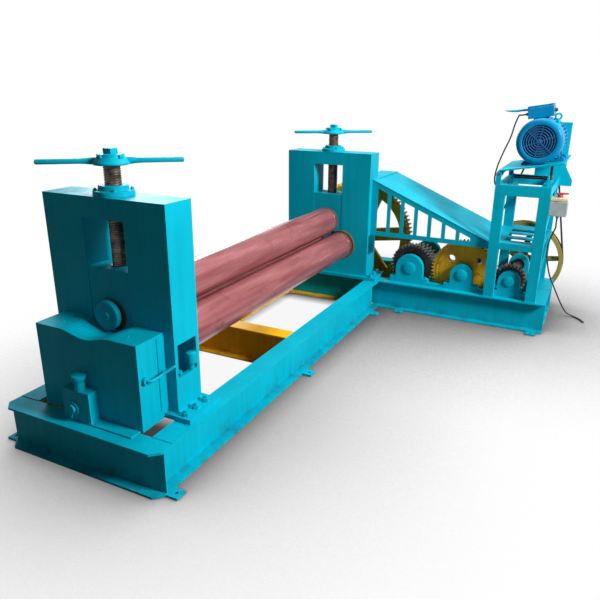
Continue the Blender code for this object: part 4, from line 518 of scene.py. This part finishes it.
makePiece("topRollTurned", rollCoat, [rollShape(0, topZ, rolls["topJournal"], 0.26, 3.191)], "top_roll",
          ["top_roll"])
makePiece("frontRollTurned", rollCoat, [rollShape(lowerX, lowerZ, lowerJournal, 0.215, 3.492)], "front_roll",
          ["lower_front_roll"])
makePiece("rearRollTurned", rollCoat, [rollShape(-lowerX, lowerZ, lowerJournal, 0.215, 3.297)], "rear_roll",
          ["lower_rear_roll"])
makePiece("topRollEndCap", cyanEnamel,
          [turnedShape([(0, 0.2597), (0.078, 0.2597), (0.078, 0.2385), (0.0765, 0.235), (0.073, 0.2325),
                        (0.06, 0.2318), (0.026, 0.2317), (0.023, 0.2305), (0.0205, 0.227), (0.017, 0.2258),
                        (0.008, 0.2262), (0.007, 0.229), (0, 0.229)], (0, 0, topZ), "Y", 96)],
          "top_roll", ["top_roll_end_disc"])
for side, roll in ((-1, "rear"), (1, "front")):
    for label, face, away in (("near", stands["near"] + stands["thick"], 1), ("far", stands["far"], -1)):
        centre = (side * lowerX, 0, lowerZ)
        flange = ringShape([(0.0635, face + away * 0.0117), (0.126, face + away * 0.0117),
                            (0.13, face + away * 0.0085), (0.13, face + away * 0.0004),
                            (0.0635, face + away * 0.0004)], centre, "Y", 72)
        sleeve = ringShape([(0.0632, face - away * 0.19), (0.08, face - away * 0.19), (0.08, face),
                            (0.0632, face)], centre, "Y", 72)
        makePiece(f"{label}{roll.capitalize()}BushTurned", bearingBronze, [flange, sleeve], "frame",
                  [f"{label}_{roll}_bush"])
print("rolls turned")

# Painted shade: a thin near-black disc behind the top roll's end disc, offset to its right, stands for the
# shade in a recess round it
recessShadeDisc = turnedShape([(0, 0.2745), (0.084, 0.2745), (0.084, 0.276), (0, 0.276)], (0.016, 0, 0.75), "Y", 64)
makePiece("topBearingPaintedShade", recessShadePaint, [recessShadeDisc], "carriage")

# Screw-down gear
screw = {"radius": 0.0422, "depth": 0.0032, "lead": 0.012, "low": 0.946, "high": 1.497, "sides": 48,
         "perTurn": 8, "halfBar": 0.35}


def threadShape(centre):
    """A helical thread: r = R minus depth times a trapezoid wave of (height / lead minus angle / turn)."""
    rows = int((screw["high"] - screw["low"]) / screw["lead"] * screw["perTurn"])
    height = np.linspace(screw["low"], screw["high"], rows)[:, None]
    angle = circle(screw["sides"])[None, :]
    wave = (height / screw["lead"] - angle / math.tau) % 1.0
    groove = np.clip((np.abs(wave - 0.5) - 0.12) / 0.14, 0.0, 1.0)
    radius = screw["radius"] - screw["depth"] * (1 - groove)
    points = np.stack([radius * np.cos(angle), radius * np.sin(angle), height + 0 * angle], -1)
    return points + centre, cappedFaces(rows, screw["sides"])


def aroundHub(points, turn, centre):
    """Points laid out along +X, swung about the screw's axis to the bar's direction."""
    points = np.asarray(points, float)
    x = points[..., 0] * math.cos(turn) - points[..., 1] * math.sin(turn)
    y = points[..., 0] * math.sin(turn) + points[..., 1] * math.cos(turn)
    return np.stack([x, y, points[..., 2]], -1) + centre


def buildScrew(prefix, y, turn):
    """A screw with its thread, hub and lugs, T bar, and nut flange with four bolts."""
    centre = (0.0, y, 0.0)
    body = f"{prefix}_screw"
    makePiece(f"{prefix}ScrewThread", screwSteel, [threadShape(centre)], body, [body], crease=50)
    hub = turnedShape([(0.0, 1.4952), (0.06, 1.4952), (0.085, 1.4975), (0.0905, 1.502), (0.0905, 1.508),
                       (0.08, 1.521), (0.069, 1.533), (0.0665, 1.537), (0.0665, 1.5485), (0.05, 1.55),
                       (0.0, 1.55)], centre)
    square = blockShape((-0.025, y - 0.025, 1.545), (0.025, y + 0.025, 1.5757))
    lugs = []
    for index in range(4):
        angle = turn + math.pi / 4 + index * math.pi / 2
        lug = blockShape((0.062, -0.012, 1.531), (0.076, 0.012, 1.5445))
        lugs.append((aroundHub(lug[0], angle, centre), lug[1]))
    makePiece(f"{prefix}ScrewHub", cyanEnamel, [hub, square] + lugs, body, bevel=0.002)
    # handle bar, thickened by a tapered socket on each side of the hub
    half = screw["halfBar"]
    reach = np.array([-half, -half + 0.002, -half + 0.006, -0.15, -0.125, -0.098, -0.084, 0.0,
                      0.084, 0.098, 0.125, 0.15, half - 0.006, half - 0.002, half])
    radius = np.array([0.006, 0.0105, 0.0123, 0.0123, 0.0135, 0.0165, 0.0175, 0.0175,
                       0.0175, 0.0165, 0.0135, 0.0123, 0.0123, 0.0105, 0.006])
    bar = np.stack([reach, 0 * reach, 0 * reach + 1.515], -1)
    shape = tubeShape(aroundHub(bar, turn, centre), radius, 20)
    makePiece(f"{prefix}HandleBarRod", cyanEnamel, [shape], body, [f"{prefix}_handle_bar"])
    nut = ringShape([(0.0433, 1.3998), (0.071, 1.4), (0.0745, 1.397), (0.075, 1.3785), (0.0775, 1.3757),
                     (0.0985, 1.3755), (0.102, 1.373), (0.1025, 1.3504), (0.0553, 1.3504), (0.055, 1.244),
                     (0.0433, 1.244)], centre, "Z", 96)
    bolts = []
    for index in range(4):
        angle = math.pi / 4 + index * math.pi / 2
        spot = (0.0885 * math.cos(angle), y + 0.0885 * math.sin(angle), 1.3745)
        bolts.append(hexShape(spot, 0.0105, 0.0085))
        bolts.append(turnedShape([(0, 0.0135), (0.0052, 0.0135), (0.006, 0.0125), (0.006, 0)], spot, "Z", 20))
    makePiece(f"{prefix}ScrewNutTurned", cyanEnamel, [nut] + bolts, "frame", [f"{prefix}_screw_nut"],
              bevel=0.0008)


buildScrew("near", 0.373, math.radians(40.5))
buildScrew("far", 3.081, math.radians(38.5))
print("screws threaded")

# Roll end cover's fittings
pinX = -0.05
wirePath = smoothRoute([(pinX, -0.012, 0.352), (pinX, -0.012, 0.322), (pinX - 0.001, -0.012, 0.298),
                        (pinX - 0.004, -0.013, 0.28), (pinX - 0.012, -0.0135, 0.27)], 0.004)[0]
makePiece("coverLockPinTurned", cyanEnamel,
          [turnedShape([(0, 0.0905), (0.02, 0.0905), (0.022, 0.0885), (0.022, 0.006), (0.0355, 0.006),
                        (0.036, 0.005), (0.036, -0.0045), (0.034, -0.0063), (0.0222, -0.0063),
                        (0.0218, -0.015), (0.02, -0.0175), (0.0, -0.018)], (pinX, 0, 0.325), "Y", 48),
           tubeShape(wirePath, 0.0028, 10)], "cover_lock_pin", ["cover_lock_pin"])
makePiece("clampBoltTurned", cyanEnamel,
          [turnedShape([(0, 0.5048), (0.033, 0.5048), (0.0358, 0.503), (0.036, 0.488), (0.034, 0.483),
                        (0.0275, 0.472), (0.0262, 0.466), (0.0262, 0.424), (0.025, 0.4237),
                        (0.0088, 0.4237), (0.0088, 0.393), (0, 0.393)], (-0.023, 0.0324, 0), "Z", 48)],
          "frame", ["clamp_bolt"])
leverPath = smoothRoute([(0.313, 0.11, 0.52), (0.335, 0.11, 0.52), (0.352, 0.11, 0.52),
                         (0.365, 0.122, 0.52), (0.371, 0.158, 0.521), (0.374, 0.194, 0.525),
                         (0.39, 0.224, 0.538), (0.409, 0.252, 0.555)], 0.004)[0]
leverRadius = np.full(len(leverPath), 0.0079)
leverRadius[-2:] = (0.0066, 0.0035)
makePiece("coverLatchRod", cyanEnamel, [tubeShape(leverPath, leverRadius, 16)], "cover_latch_lever",
          ["cover_latch_lever"])
makePiece("standLockPinTurned", cyanEnamel,
          [turnedShape([(0, 0.5598), (0.024, 0.5598), (0.0275, 0.5575), (0.028, 0.554), (0.028, 0.501),
                        (0.027, 0.499), (0.0165, 0.4905), (0.016, 0.4885), (0.016, 0.4625),
                        (0.0088, 0.4625), (0.0088, 0.4025), (0, 0.402)], (0.38, 0.416, 0), "Z", 40)],
          "stand_lock_pin", ["stand_lock_pin"])


def rivet(spot, radius, axis):
    """A low domed head: the radius as a cosine, and 0.45 of it as a sine for the height."""
    profile = [(radius * math.cos(t), radius * 0.45 * math.sin(t)) for t in np.linspace(0, 1, 5) * math.pi / 2]
    return turnedShape([(radius, -0.002)] + profile, spot, axis, 20)


coverRivets = [rivet((-0.215, 0.15, 0.712), 0.007, "Z"), rivet((0.215, 0.15, 0.712), 0.007, "Z"),
               rivet((0.33, 0.245, 0.645), 0.008, "X"), rivet((0.33, 0.245, 0.33), 0.008, "X")]
flange = blockShape((0.3285, 0.214, 0.3), (0.3345, 0.2715, 0.7))
makePiece("coverSideFlange", cyanEnamel, [flange] + coverRivets, bevel=0.0012)
print("cover fittings made")


# Weld beads
def weldShape(x, y, z, radius=0.0045):
    """A bead along the pair given for x or y: its radius ripples every 5 mm, as pauses leave it."""
    start, end = np.stack(np.broadcast_arrays(x, y, z), -1)
    length = np.linalg.norm(end - start)
    t = np.linspace(0, 1, max(8, int(length / 0.0025)))
    ripple = radius * (0.86 + 0.14 * np.abs(np.sin(t * length / 0.005 * math.pi / 2)))
    ripple[[0, -1]] = radius * 0.45
    return tubeShape(start + (end - start) * t[:, None], ripple, 8)


welds = []
for y in (stands["near"], stands["far"]):
    welds += [weldShape(side * 0.3935, (y + 0.004, y + 0.196), 0.2762) for side in (-1, 1)]
    welds += [weldShape((-0.39, 0.39), y + 0.2005, 0.2762), weldShape((-0.39, -0.335), y - 0.0005, 0.2762),
              weldShape((0.335, 0.39), y - 0.0005, 0.2762)]
welds += [weldShape(x, (0.008, 0.07), 0.259, 0.0035) for x in (-0.1255, 0.0555)]
welds += [weldShape((side * 0.391, side * 0.516), y, 0.2505, 0.003)
          for side in (-1, 1) for y in (0.064, 2.988)]
welds += [weldShape(x, (3.0, 3.05), 0.2515, 0.0035) for x in (1.422, 1.502, 1.748, 1.828)]
welds += [weldShape(x, 2.9985, 0.252, 0.0035) for x in ((1.4225, 1.4975), (1.7525, 1.8275))]
makePiece("frameWeldBeads", cyanEnamel, welds, crease=60)
print("welds laid")

# Bearing caps and drive shafts
shafts = {"x": (0.76425, 1.21925, 1.60425), "z": 0.385, "radius": (0.04, 0.036, 0.034),
          "cap": (0.056, 0.05, 0.046)}
caps = []
for x, cap in zip(shafts["x"], shafts["cap"]):
    caps.append(turnedShape([(0, 3.0385), (0.006, 3.0385), (0.008, 3.0405), (0.012, 3.0405),
                             (cap * 0.55, 3.0415), (cap * 0.86, 3.0445), (cap, 3.049), (cap, 3.056)],
                            (x, 0, shafts["z"]), "Y", 64))
makePiece("bearingEndCaps", cyanEnamel, caps)
for number, x, radius in zip((1, 2, 3), shafts["x"], shafts["radius"]):
    collars = [ringShape([(radius + 0.0004, y), (radius + 0.017, y), (radius + 0.019, y + 0.002),
                          (radius + 0.019, y + 0.02), (radius + 0.017, y + 0.022),
                          (radius + 0.0004, y + 0.022)], (x, 0, shafts["z"]), "Y", 48) for y in (3.23, 3.64)]
    makePiece(f"shaft{number}Collars", gearSteel, collars, f"shaft_{number}")
secondCentre = (shafts["x"][1], 0, shafts["z"])
makePiece("secondShaftTurned", screwSteel,
          [turnedShape([(0, 3.051), (0.034, 3.051), (0.036, 3.053), (0.036, 3.723), (0.034, 3.725),
                        (0, 3.725)], secondCentre, "Y", 64)], "shaft_2", ["shaft_2"])
hubs = [ringShape([(0.0365, 3.129), (0.07, 3.129), (0.073, 3.132), (0.073, 3.228), (0.07, 3.231),
                   (0.0365, 3.231)], secondCentre, "Y", 64),
        ringShape([(0.22, 3.1375), (0.232, 3.1355), (0.236, 3.1355), (0.24, 3.1375), (0.24, 3.2175),
                   (0.236, 3.2195), (0.232, 3.2195), (0.22, 3.2175)], secondCentre, "Y", 96)]
makePiece("secondGearHubAndRim", yellowEnamel, hubs, "shaft_2")
print("drive shafts dressed")

# Belt wheel and belts
wheel = {"x": 1.60425, "y": 3.87, "z": 0.385, "rim": 0.355, "bed": 0.346, "inside": 0.32, "spokes": 5,
         "phase": 0.13, "belts": 4, "pitch": 0.0172}


def vBed(bed, lip, half):
    """Outer side of a grooved rim: V grooves between lips, one for each belt."""
    profile = [(lip - 0.002, -half), (lip, -half + 0.002)]
    first = -(wheel["belts"] - 1) / 2 * wheel["pitch"]
    for index in range(wheel["belts"]):
        middle = first + index * wheel["pitch"]
        profile += [(lip - 0.0005, middle - 0.008), (bed - 0.003, middle - 0.0048),
                    (bed - 0.003, middle + 0.0048), (lip - 0.0005, middle + 0.008)]
    return profile + [(lip, half - 0.002), (lip - 0.002, half)]


centre = (wheel["x"], wheel["y"], wheel["z"])
inside = wheel["inside"]
rim = ringShape(vBed(wheel["bed"], wheel["rim"], 0.05)
                + [(0.324, 0.05), (inside, 0.044), (inside - 0.004, 0.012), (inside - 0.004, -0.012),
                   (inside, -0.044), (0.324, -0.05)], centre, "Y", 128)
hub = ringShape([(0.0343, 0.05), (0.062, 0.05), (0.065, 0.047), (0.065, -0.047), (0.062, -0.05),
                 (0.0343, -0.05)], centre, "Y", 64)
spokes = []
for index in range(wheel["spokes"]):
    turn = wheel["phase"] + index * math.tau / wheel["spokes"]
    reach = np.linspace(0.058, 0.321, 12)[:, None]
    angle = circle(16)[None, :]
    taper = 1.12 - 0.3 * (reach - 0.058) / 0.263 + 0.35 * np.exp(-((reach - 0.058) / 0.02) ** 2)
    across = 0.027 * taper * np.cos(angle)
    thick = 0.0105 * taper * np.sin(angle)  # an oval section that narrows towards the rim
    x = reach * math.cos(turn) - across * math.sin(turn)
    z = reach * math.sin(turn) + across * math.cos(turn)
    spokes.append((np.stack([x, thick + 0 * reach, z], -1) + centre, cappedFaces(12, 16)))
makePiece("beltWheelCast", oliveEnamel, [rim, hub] + spokes, "shaft_3", ["belt_wheel"], crease=40)

motorCentre = (0.292, 0.0, 0.206)  # in the platform's own frame
motorX, _, motorZ = map(float, tilted(motorCentre))
beltRadius = {"wheel": 0.349, "pulley": 0.06}  # the belts' pitch circles


def beltShape(offset):
    """One V belt: a trapezoid carried round both pulleys, wide at its back."""
    across, rise = motorX - wheel["x"], motorZ - wheel["z"]
    direction, reach = math.atan2(rise, across), math.hypot(across, rise)
    wheelRadius, pulleyRadius = beltRadius["wheel"], beltRadius["pulley"]
    spread = math.acos((wheelRadius - pulleyRadius) / reach)
    low = np.linspace(direction + spread, direction + math.tau - spread, 90)
    high = np.linspace(direction - spread, direction + spread, 40)
    rings = []
    for lift, half in ((-0.0035, 0.0048), (-0.0035, -0.0048), (0.0078, -0.0078), (0.0078, 0.0078)):
        outer, inner = wheelRadius + lift, pulleyRadius + lift
        x = np.concatenate([wheel["x"] + outer * np.cos(low), motorX + inner * np.cos(high)])
        z = np.concatenate([wheel["z"] + outer * np.sin(low), motorZ + inner * np.sin(high)])
        rings.append(np.stack([x, 0 * x + wheel["y"] + offset + half, z], -1))
    return np.stack(rings, 1), gridFaces(len(rings[0]), 4, True, True)


beltOffsets = [(index - (wheel["belts"] - 1) / 2) * wheel["pitch"] for index in range(wheel["belts"])]
belts = makePiece("vBeltSet", beltRubber, [beltShape(offset) for offset in beltOffsets], "frame", ["v_belts"],
                  crease=30)
print("belt drive made")

# Motor, in the platform's tilted frame
motor = {"front": 3.212, "back": 3.598, "base": 0.1485, "tip": 0.164, "fins": 36}


def finShape():
    """The finned barrel: r = base + height times a narrow pulse of (fins times angle), drawn out along Y."""
    angle = circle(motor["fins"] * 8)[None, :]
    wave = (angle / math.tau * motor["fins"]) % 1.0
    pulse = np.clip((0.5 - np.abs(wave - 0.5) - 0.3) / 0.07, 0.0, 1.0)
    along = np.array([motor["front"], motor["front"] + 0.004, motor["back"] - 0.004, motor["back"]])[:, None]
    rise = np.array([0.6, 1.0, 1.0, 0.6])[:, None]
    radius = motor["base"] + (motor["tip"] - motor["base"]) * pulse * rise
    points = np.stack([motorCentre[0] + radius * np.cos(angle), along + 0 * angle,
                       motorCentre[2] + radius * np.sin(angle)], -1)
    return points, cappedFaces(4, points.shape[1])


shield = turnedShape([(0, 3.6495), (0.05, 3.6495), (0.056, 3.6465), (0.062, 3.633), (0.105, 3.623),
                      (0.136, 3.618), (0.158, 3.612), (0.1645, 3.606), (0.165, 3.59), (0.156, 3.588),
                      (0, 3.588)], motorCentre, "Y", 96)
frontRing = turnedShape([(0, 3.198), (0.1615, 3.198), (0.1645, 3.201), (0.1645, 3.213), (0.16, 3.216),
                         (0, 3.216)], motorCentre, "Y", 96)
feet = []
for side in (-1, 1):
    x = motorCentre[0] + side * 0.127
    web = x - side * 0.012
    for y in (3.24, 3.5):
        feet.append(blockShape((x - 0.03, y, 0.0345), (x + 0.03, y + 0.06, 0.052)))
        feet.append(blockShape((web - 0.01, y + 0.004, 0.045), (web + 0.01, y + 0.056, 0.125)))
        feet.append(hexShape((x + side * 0.012, y + 0.03, 0.052), 0.0125, 0.01))
saddle = blockShape((0.236, 3.288, 0.345), (0.348, 3.432, 0.3752))
makeTilted("motorBarrelCast", motorEnamel, [finShape(), shield, frontRing, saddle] + feet,
           replaced=["motor_body"], bevel=0.0012, crease=30)

coverProfile = [(0.1655, 3.2118), (0.1686, 3.2118), (0.1688, 3.21), (0.1688, 3.092), (0.1672, 3.08),
                (0.162, 3.07), (0.153, 3.063), (0.14, 3.0602), (0.124, 3.06), (0.1215, 3.062),
                (0.121, 3.068), (0.121, 3.072), (0.14, 3.072), (0.156, 3.076), (0.1655, 3.092)]
fanCover = ringShape(coverProfile, motorCentre, "Y", 96)
grille = []
for ring in (0.02, 0.038, 0.056, 0.074, 0.092, 0.11):
    grille.append(ringShape([(ring - 0.0035, 3.065), (ring, 3.0625), (ring + 0.0035, 3.065),
                             (ring + 0.0035, 3.068), (ring - 0.0035, 3.068)],
                            motorCentre, "Y", 72))
for index in range(6):
    turn = index * math.pi / 3 + 0.2
    spoke = blockShape((0.012, 3.0635, -0.0035), (0.123, 3.069, 0.0035))
    x, z = spoke[0][:, 0].copy(), spoke[0][:, 2].copy()
    points = np.stack([motorCentre[0] + x * math.cos(turn) - z * math.sin(turn), spoke[0][:, 1],
                       motorCentre[2] + x * math.sin(turn) + z * math.cos(turn)], -1)
    grille.append((points, spoke[1]))
boss = turnedShape([(0, 3.061), (0.012, 3.0612), (0.0145, 3.064), (0.0145, 3.069), (0, 3.069)],
                   motorCentre, "Y", 48)
makeTilted("fanCoverPressed", motorEnamel, [fanCover], replaced=["motor_fan_cover"], crease=40)
# grille rings in the darker blue, as painted shade
makeTilted("fanGrilleRings", grilleEnamel, [boss] + grille)
# Painted shade: a thin dark disc just behind the grille stands for the shaded hollow inside the fan cover
ventShadeDisc = turnedShape([(0, 3.0705), (0.1212, 3.0705), (0.1212, 3.0725), (0, 3.0725)], motorCentre, "Y", 72)
makeTilted("fanCoverPaintedShade", ventShadePaint, [ventShadeDisc])

lowCorner, highCorner = (0.197, 3.27, 0.3757), (0.387, 3.45, 0.4707)
terminalParts = [blockShape(lowCorner, (highCorner[0], highCorner[1], highCorner[2] - 0.016)),
                 blockShape((lowCorner[0] + 0.002, lowCorner[1] + 0.002, highCorner[2] - 0.0155),
                            (highCorner[0] - 0.002, highCorner[1] - 0.002, highCorner[2]))]
for x in (0.212, 0.372):
    for y in (3.285, 3.435):
        terminalParts.append(turnedShape([(0, 0.4725), (0.005, 0.4722), (0.006, 0.47)], (x, y, 0), "Z", 20))
makeTilted("terminalBoxCast", motorEnamel, terminalParts, replaced=["motor_terminal_box"], bevel=0.004)
gland = turnedShape([(0, 0.1735), (0.0075, 0.1735), (0.011, 0.1765), (0.0118, 0.183), (0.0118, 0.198),
                     (0, 0.198)], (0, 3.36, 0.4138), "X", 24)
nearGland = turnedShape([(0, 0.385), (0.0135, 0.385), (0.014, 0.387), (0.014, 0.4), (0.011, 0.408),
                         (0, 0.409)], (0, 3.36, 0.418), "X", 24)
makeTilted("terminalGlands", cableRubber, [gland, nearGland])
turns = np.linspace(0, math.tau, 33)[:-1]
eyePath = np.stack([0.42 + 0.021 * np.cos(turns), 3.24 + 0 * turns, 0.368 + 0.021 * np.sin(turns)], -1)
eye = tubeShape(tilted(eyePath), 0.0075, 12, closed=True)
eyeFoot = turnedShape([(0, 0.285), (0.016, 0.285), (0.016, 0.338), (0.01, 0.346), (0, 0.347)],
                      (0.416, 3.24, 0), "Z", 32)
makePiece("motorLiftingEye", cyanEnamel, [eye, tiltedShape(eyeFoot)], "motor_platform")
stubPath = tilted([(0.205, 3.36, 0.446), (0.185, 3.36, 0.448), (0.15, 3.358, 0.45), (0.11, 3.355, 0.451),
                   (0.075, 3.352, 0.455), (0.045, 3.35, 0.46), (0.02, 3.35, 0.466)])
stubRadius = [0.009, 0.0095, 0.0085, 0.0095, 0.0085, 0.0055, 0.0025]
makePiece("conduitTail", cyanEnamel, [tubeShape(stubPath, stubRadius, 14)], "motor_platform")

pulleyAxis = (motorX, 3.87, motorZ)
pulley = ringShape(vBed(0.057, 0.066, 0.05) + [(0.0213, 0.05), (0.0213, -0.05)], pulleyAxis, "Y", 96)
makePiece("motorPulleyTurned", gearSteel, [pulley], "motor_rotor", ["motor_pulley"], crease=40)
makePiece("motorShaftTurned", screwSteel,
          [turnedShape([(0, 3.52), (0.021, 3.52), (0.021, 3.926), (0.019, 3.93), (0, 3.93)],
                       (motorX, 0, motorZ), "Y", 48)], "motor_rotor", ["motor_shaft"])
print("motor made")

# Tower fittings
barEnds = [(1.532, 3.14, 1.226), (1.54, 3.14, 1.226), (1.775, 3.14, 1.226), (1.783, 3.14, 1.226)]
adjuster = tubeShape(barEnds, 0.015, 20)
posts = [blockShape((left, 3.12, 1.165), (left + 0.014, 3.16, 1.246)) for left in (1.52, 1.781)]
makePiece("platformCrossBar", gearSteel, [adjuster])
makePiece("crossBarPosts", cyanEnamel, posts, bevel=0.0015)
makePiece("hingePinTurned", screwSteel,
          [turnedShape([(0, 3.000), (0.0105, 3.000), (0.012, 3.0015), (0.012, 3.722), (0.0105, 3.7235),
                        (0, 3.7235)], (hinge["x"], 0, hinge["z"]), "Y", 32)], "frame", ["platform_hinge_pin"])
tensionX, tensionY = 1.79, 3.35
tensionTop = hinge["z"] + (tensionX - hinge["x"]) * math.tan(hinge["tilt"]) + 0.022 / cosTilt - 0.0009
tensionThread = [(0.0118 - 0.0016 * (index % 2), tensionTop - 0.01 - 0.002 * index) for index in range(120)]
makePiece("tensionScrewTurned", screwSteel,
          [turnedShape([(0, tensionTop), (0.004, tensionTop - 0.0012), (0.0095, tensionTop - 0.005),
                        (0.0118, tensionTop - 0.009)] + tensionThread + [(0.0118, 1.03), (0, 1.03)],
                       (tensionX, tensionY, 0), "Z", 32),
           hexShape((tensionX, tensionY, 1.0132), 0.0198, 0.0136)], "tension_screw", ["tension_screw"])
makePiece("adjustNutLock", screwSteel, [hexShape((tensionX, tensionY, 1.1905), 0.0205, 0.011)], bevel=0.001)
print("tower fittings made")

# Control box
knobCentre = (1.8943, 3.06, 0.0)
boxEntry = turnedShape([(0, 0.9362), (0.0085, 0.9362), (0.0115, 0.94), (0.012, 0.945), (0.012, 0.961),
                        (0, 0.961)], knobCentre, "Z", 24)
boxCase = blockShape((1.8303, 3.01, 0.96), (1.9583, 3.11, 1.072))
makePiece("controlBoxCase", boxPlastic, [boxCase, boxEntry], "frame", ["control_box"], bevel=0.004)
makePiece("controlBoxLid", creamPlastic, [blockShape((1.8309, 3.0106, 1.0732), (1.9577, 3.1094, 1.0998))],
          bevel=0.005)
knob = turnedShape([(0, 1.1203), (0.016, 1.1203), (0.0205, 1.118), (0.022, 1.114), (0.022, 1.101),
                    (0, 1.101)], knobCentre, "Z", 40)
gripX = np.array([-0.03, -0.026, 0.0, 0.03, 0.054, 0.06])[:, None]
gripHalf = np.array([0.003, 0.0065, 0.0068, 0.006, 0.005, 0.002])[:, None]
gripAngle = circle(16)[None, :]
gripPoints = np.stack([knobCentre[0] + gripX + 0 * gripAngle, knobCentre[1] + gripHalf * np.cos(gripAngle),
                       1.125 + 0.06 * (gripX + 0.03) + gripHalf * 1.25 * np.sin(gripAngle)], -1)
makePiece("switchKnobMoulded", redPlastic, [knob, (gripPoints, cappedFaces(6, 16))], "switch_knob",
          ["switch_knob"])
print("control box made")

# Floor, backdrop and light
floorShade = {"reach": 1.7, "power": 2.5, "darkest": 0.04, "insideBed": 0.93, "albedo": 0.16}


def outputBySight(tree, lighting, seen, kind):
    """One shader for camera, glossy and transmission rays, and the other for those that light the machine."""
    ray = addNode(tree, "ShaderNodeLightPath").outputs
    sight = maths(tree, "MAXIMUM", ray["Is Camera Ray"], ray["Is Glossy Ray"])
    sight = maths(tree, "MAXIMUM", sight, ray["Is Transmission Ray"])
    mixed = addNode(tree, "ShaderNodeMixShader", inputs={0: sight, 1: lighting, 2: seen}).outputs[0]
    addNode(tree, kind, inputs={"Surface": mixed})


floorMesh = bpy.data.meshes.new("studioFloor")
corners = [(x, y, -0.001) for x, y in ((-30, -30), (30, -30), (30, 30), (-30, 30))]
floorMesh.from_pydata(corners, [], [(0, 1, 2, 3)])
floor = bpy.data.objects.new("studioFloor", floorMesh)
bpy.context.scene.collection.objects.link(floor)
floorMat = bpy.data.materials.new("paleStudioFloor")
floorMat.use_nodes = True
tree = floorMat.node_tree
tree.nodes.clear()
shade = addNode(tree, "ShaderNodeAmbientOcclusion", {"samples": 8}, {"Distance": floorShade["reach"]})
shade = maths(tree, "POWER", shade.outputs["AO"], floorShade["power"])
tone = maths(tree, "MULTIPLY_ADD", shade, 1 - floorShade["darkest"], floorShade["darkest"])
# The photo's floor is bare white inside the bed: a soft rectangle there lifts the shade
spot = splitAxes(tree, addNode(tree, "ShaderNodeTexCoord").outputs["Object"])
inX = maths(tree, "MULTIPLY", ramp(tree, spot["X"], -0.46, -0.3), ramp(tree, spot["X"], 0.46, 0.3))
inY = maths(tree, "MULTIPLY", ramp(tree, spot["Y"], 0.45, 0.75), ramp(tree, spot["Y"], 3.00, 2.8))
bare = maths(tree, "MULTIPLY", maths(tree, "MULTIPLY", inX, inY), floorShade["insideBed"])
tone = maths(tree, "MAXIMUM", tone, bare)
glow = addNode(tree, "ShaderNodeEmission", inputs={"Strength": tone}).outputs[0]
bounce = (floorShade["albedo"],) * 3 + (1,)
matte = addNode(tree, "ShaderNodeBsdfDiffuse", inputs={"Color": bounce}).outputs[0]
outputBySight(tree, matte, glow, "ShaderNodeOutputMaterial")
floorMesh.materials.append(floorMat)

world = bpy.data.worlds.new("studioWorld")
bpy.context.scene.world = world
world.use_nodes = True
tree = world.node_tree
tree.nodes.clear()
dome = addNode(tree, "ShaderNodeBackground", inputs={"Color": (0.92, 1, 0.96, 1), "Strength": 0.07}).outputs[0]
white = addNode(tree, "ShaderNodeBackground", inputs={"Color": (1, 1, 1, 1)}).outputs[0]
outputBySight(tree, dome, white, "ShaderNodeOutputWorld")

lamps = {"key": {"place": (6.5, 1.0, 4.1), "aim": (0.6, 1.4, 0.6), "size": 1.5, "power": 640.0},
         "top": {"place": (1.0, 3.4, 5.6), "aim": (0.8, 2.4, 0.3), "size": 2.6, "power": 170.0},
         "back": {"place": (-5.0, 7.0, 3.6), "aim": (0.4, 2.2, 0.6), "size": 3.0, "power": 380.0}}
for lampName, values in lamps.items():
    data = bpy.data.lights.new(f"{lampName}Softbox", "AREA")
    data.size = values["size"]
    data.energy = values["power"]
    lamp = bpy.data.objects.new(f"{lampName}Softbox", data)
    place, aim = Vector(values["place"]), Vector(values["aim"])
    lamp.matrix_world = Matrix.Translation(place) @ (aim - place).to_track_quat("-Z", "Y").to_matrix().to_4x4()
    bpy.context.scene.collection.objects.link(lamp)
bpy.context.scene.view_settings.view_transform = "Standard"
print("studio lit")
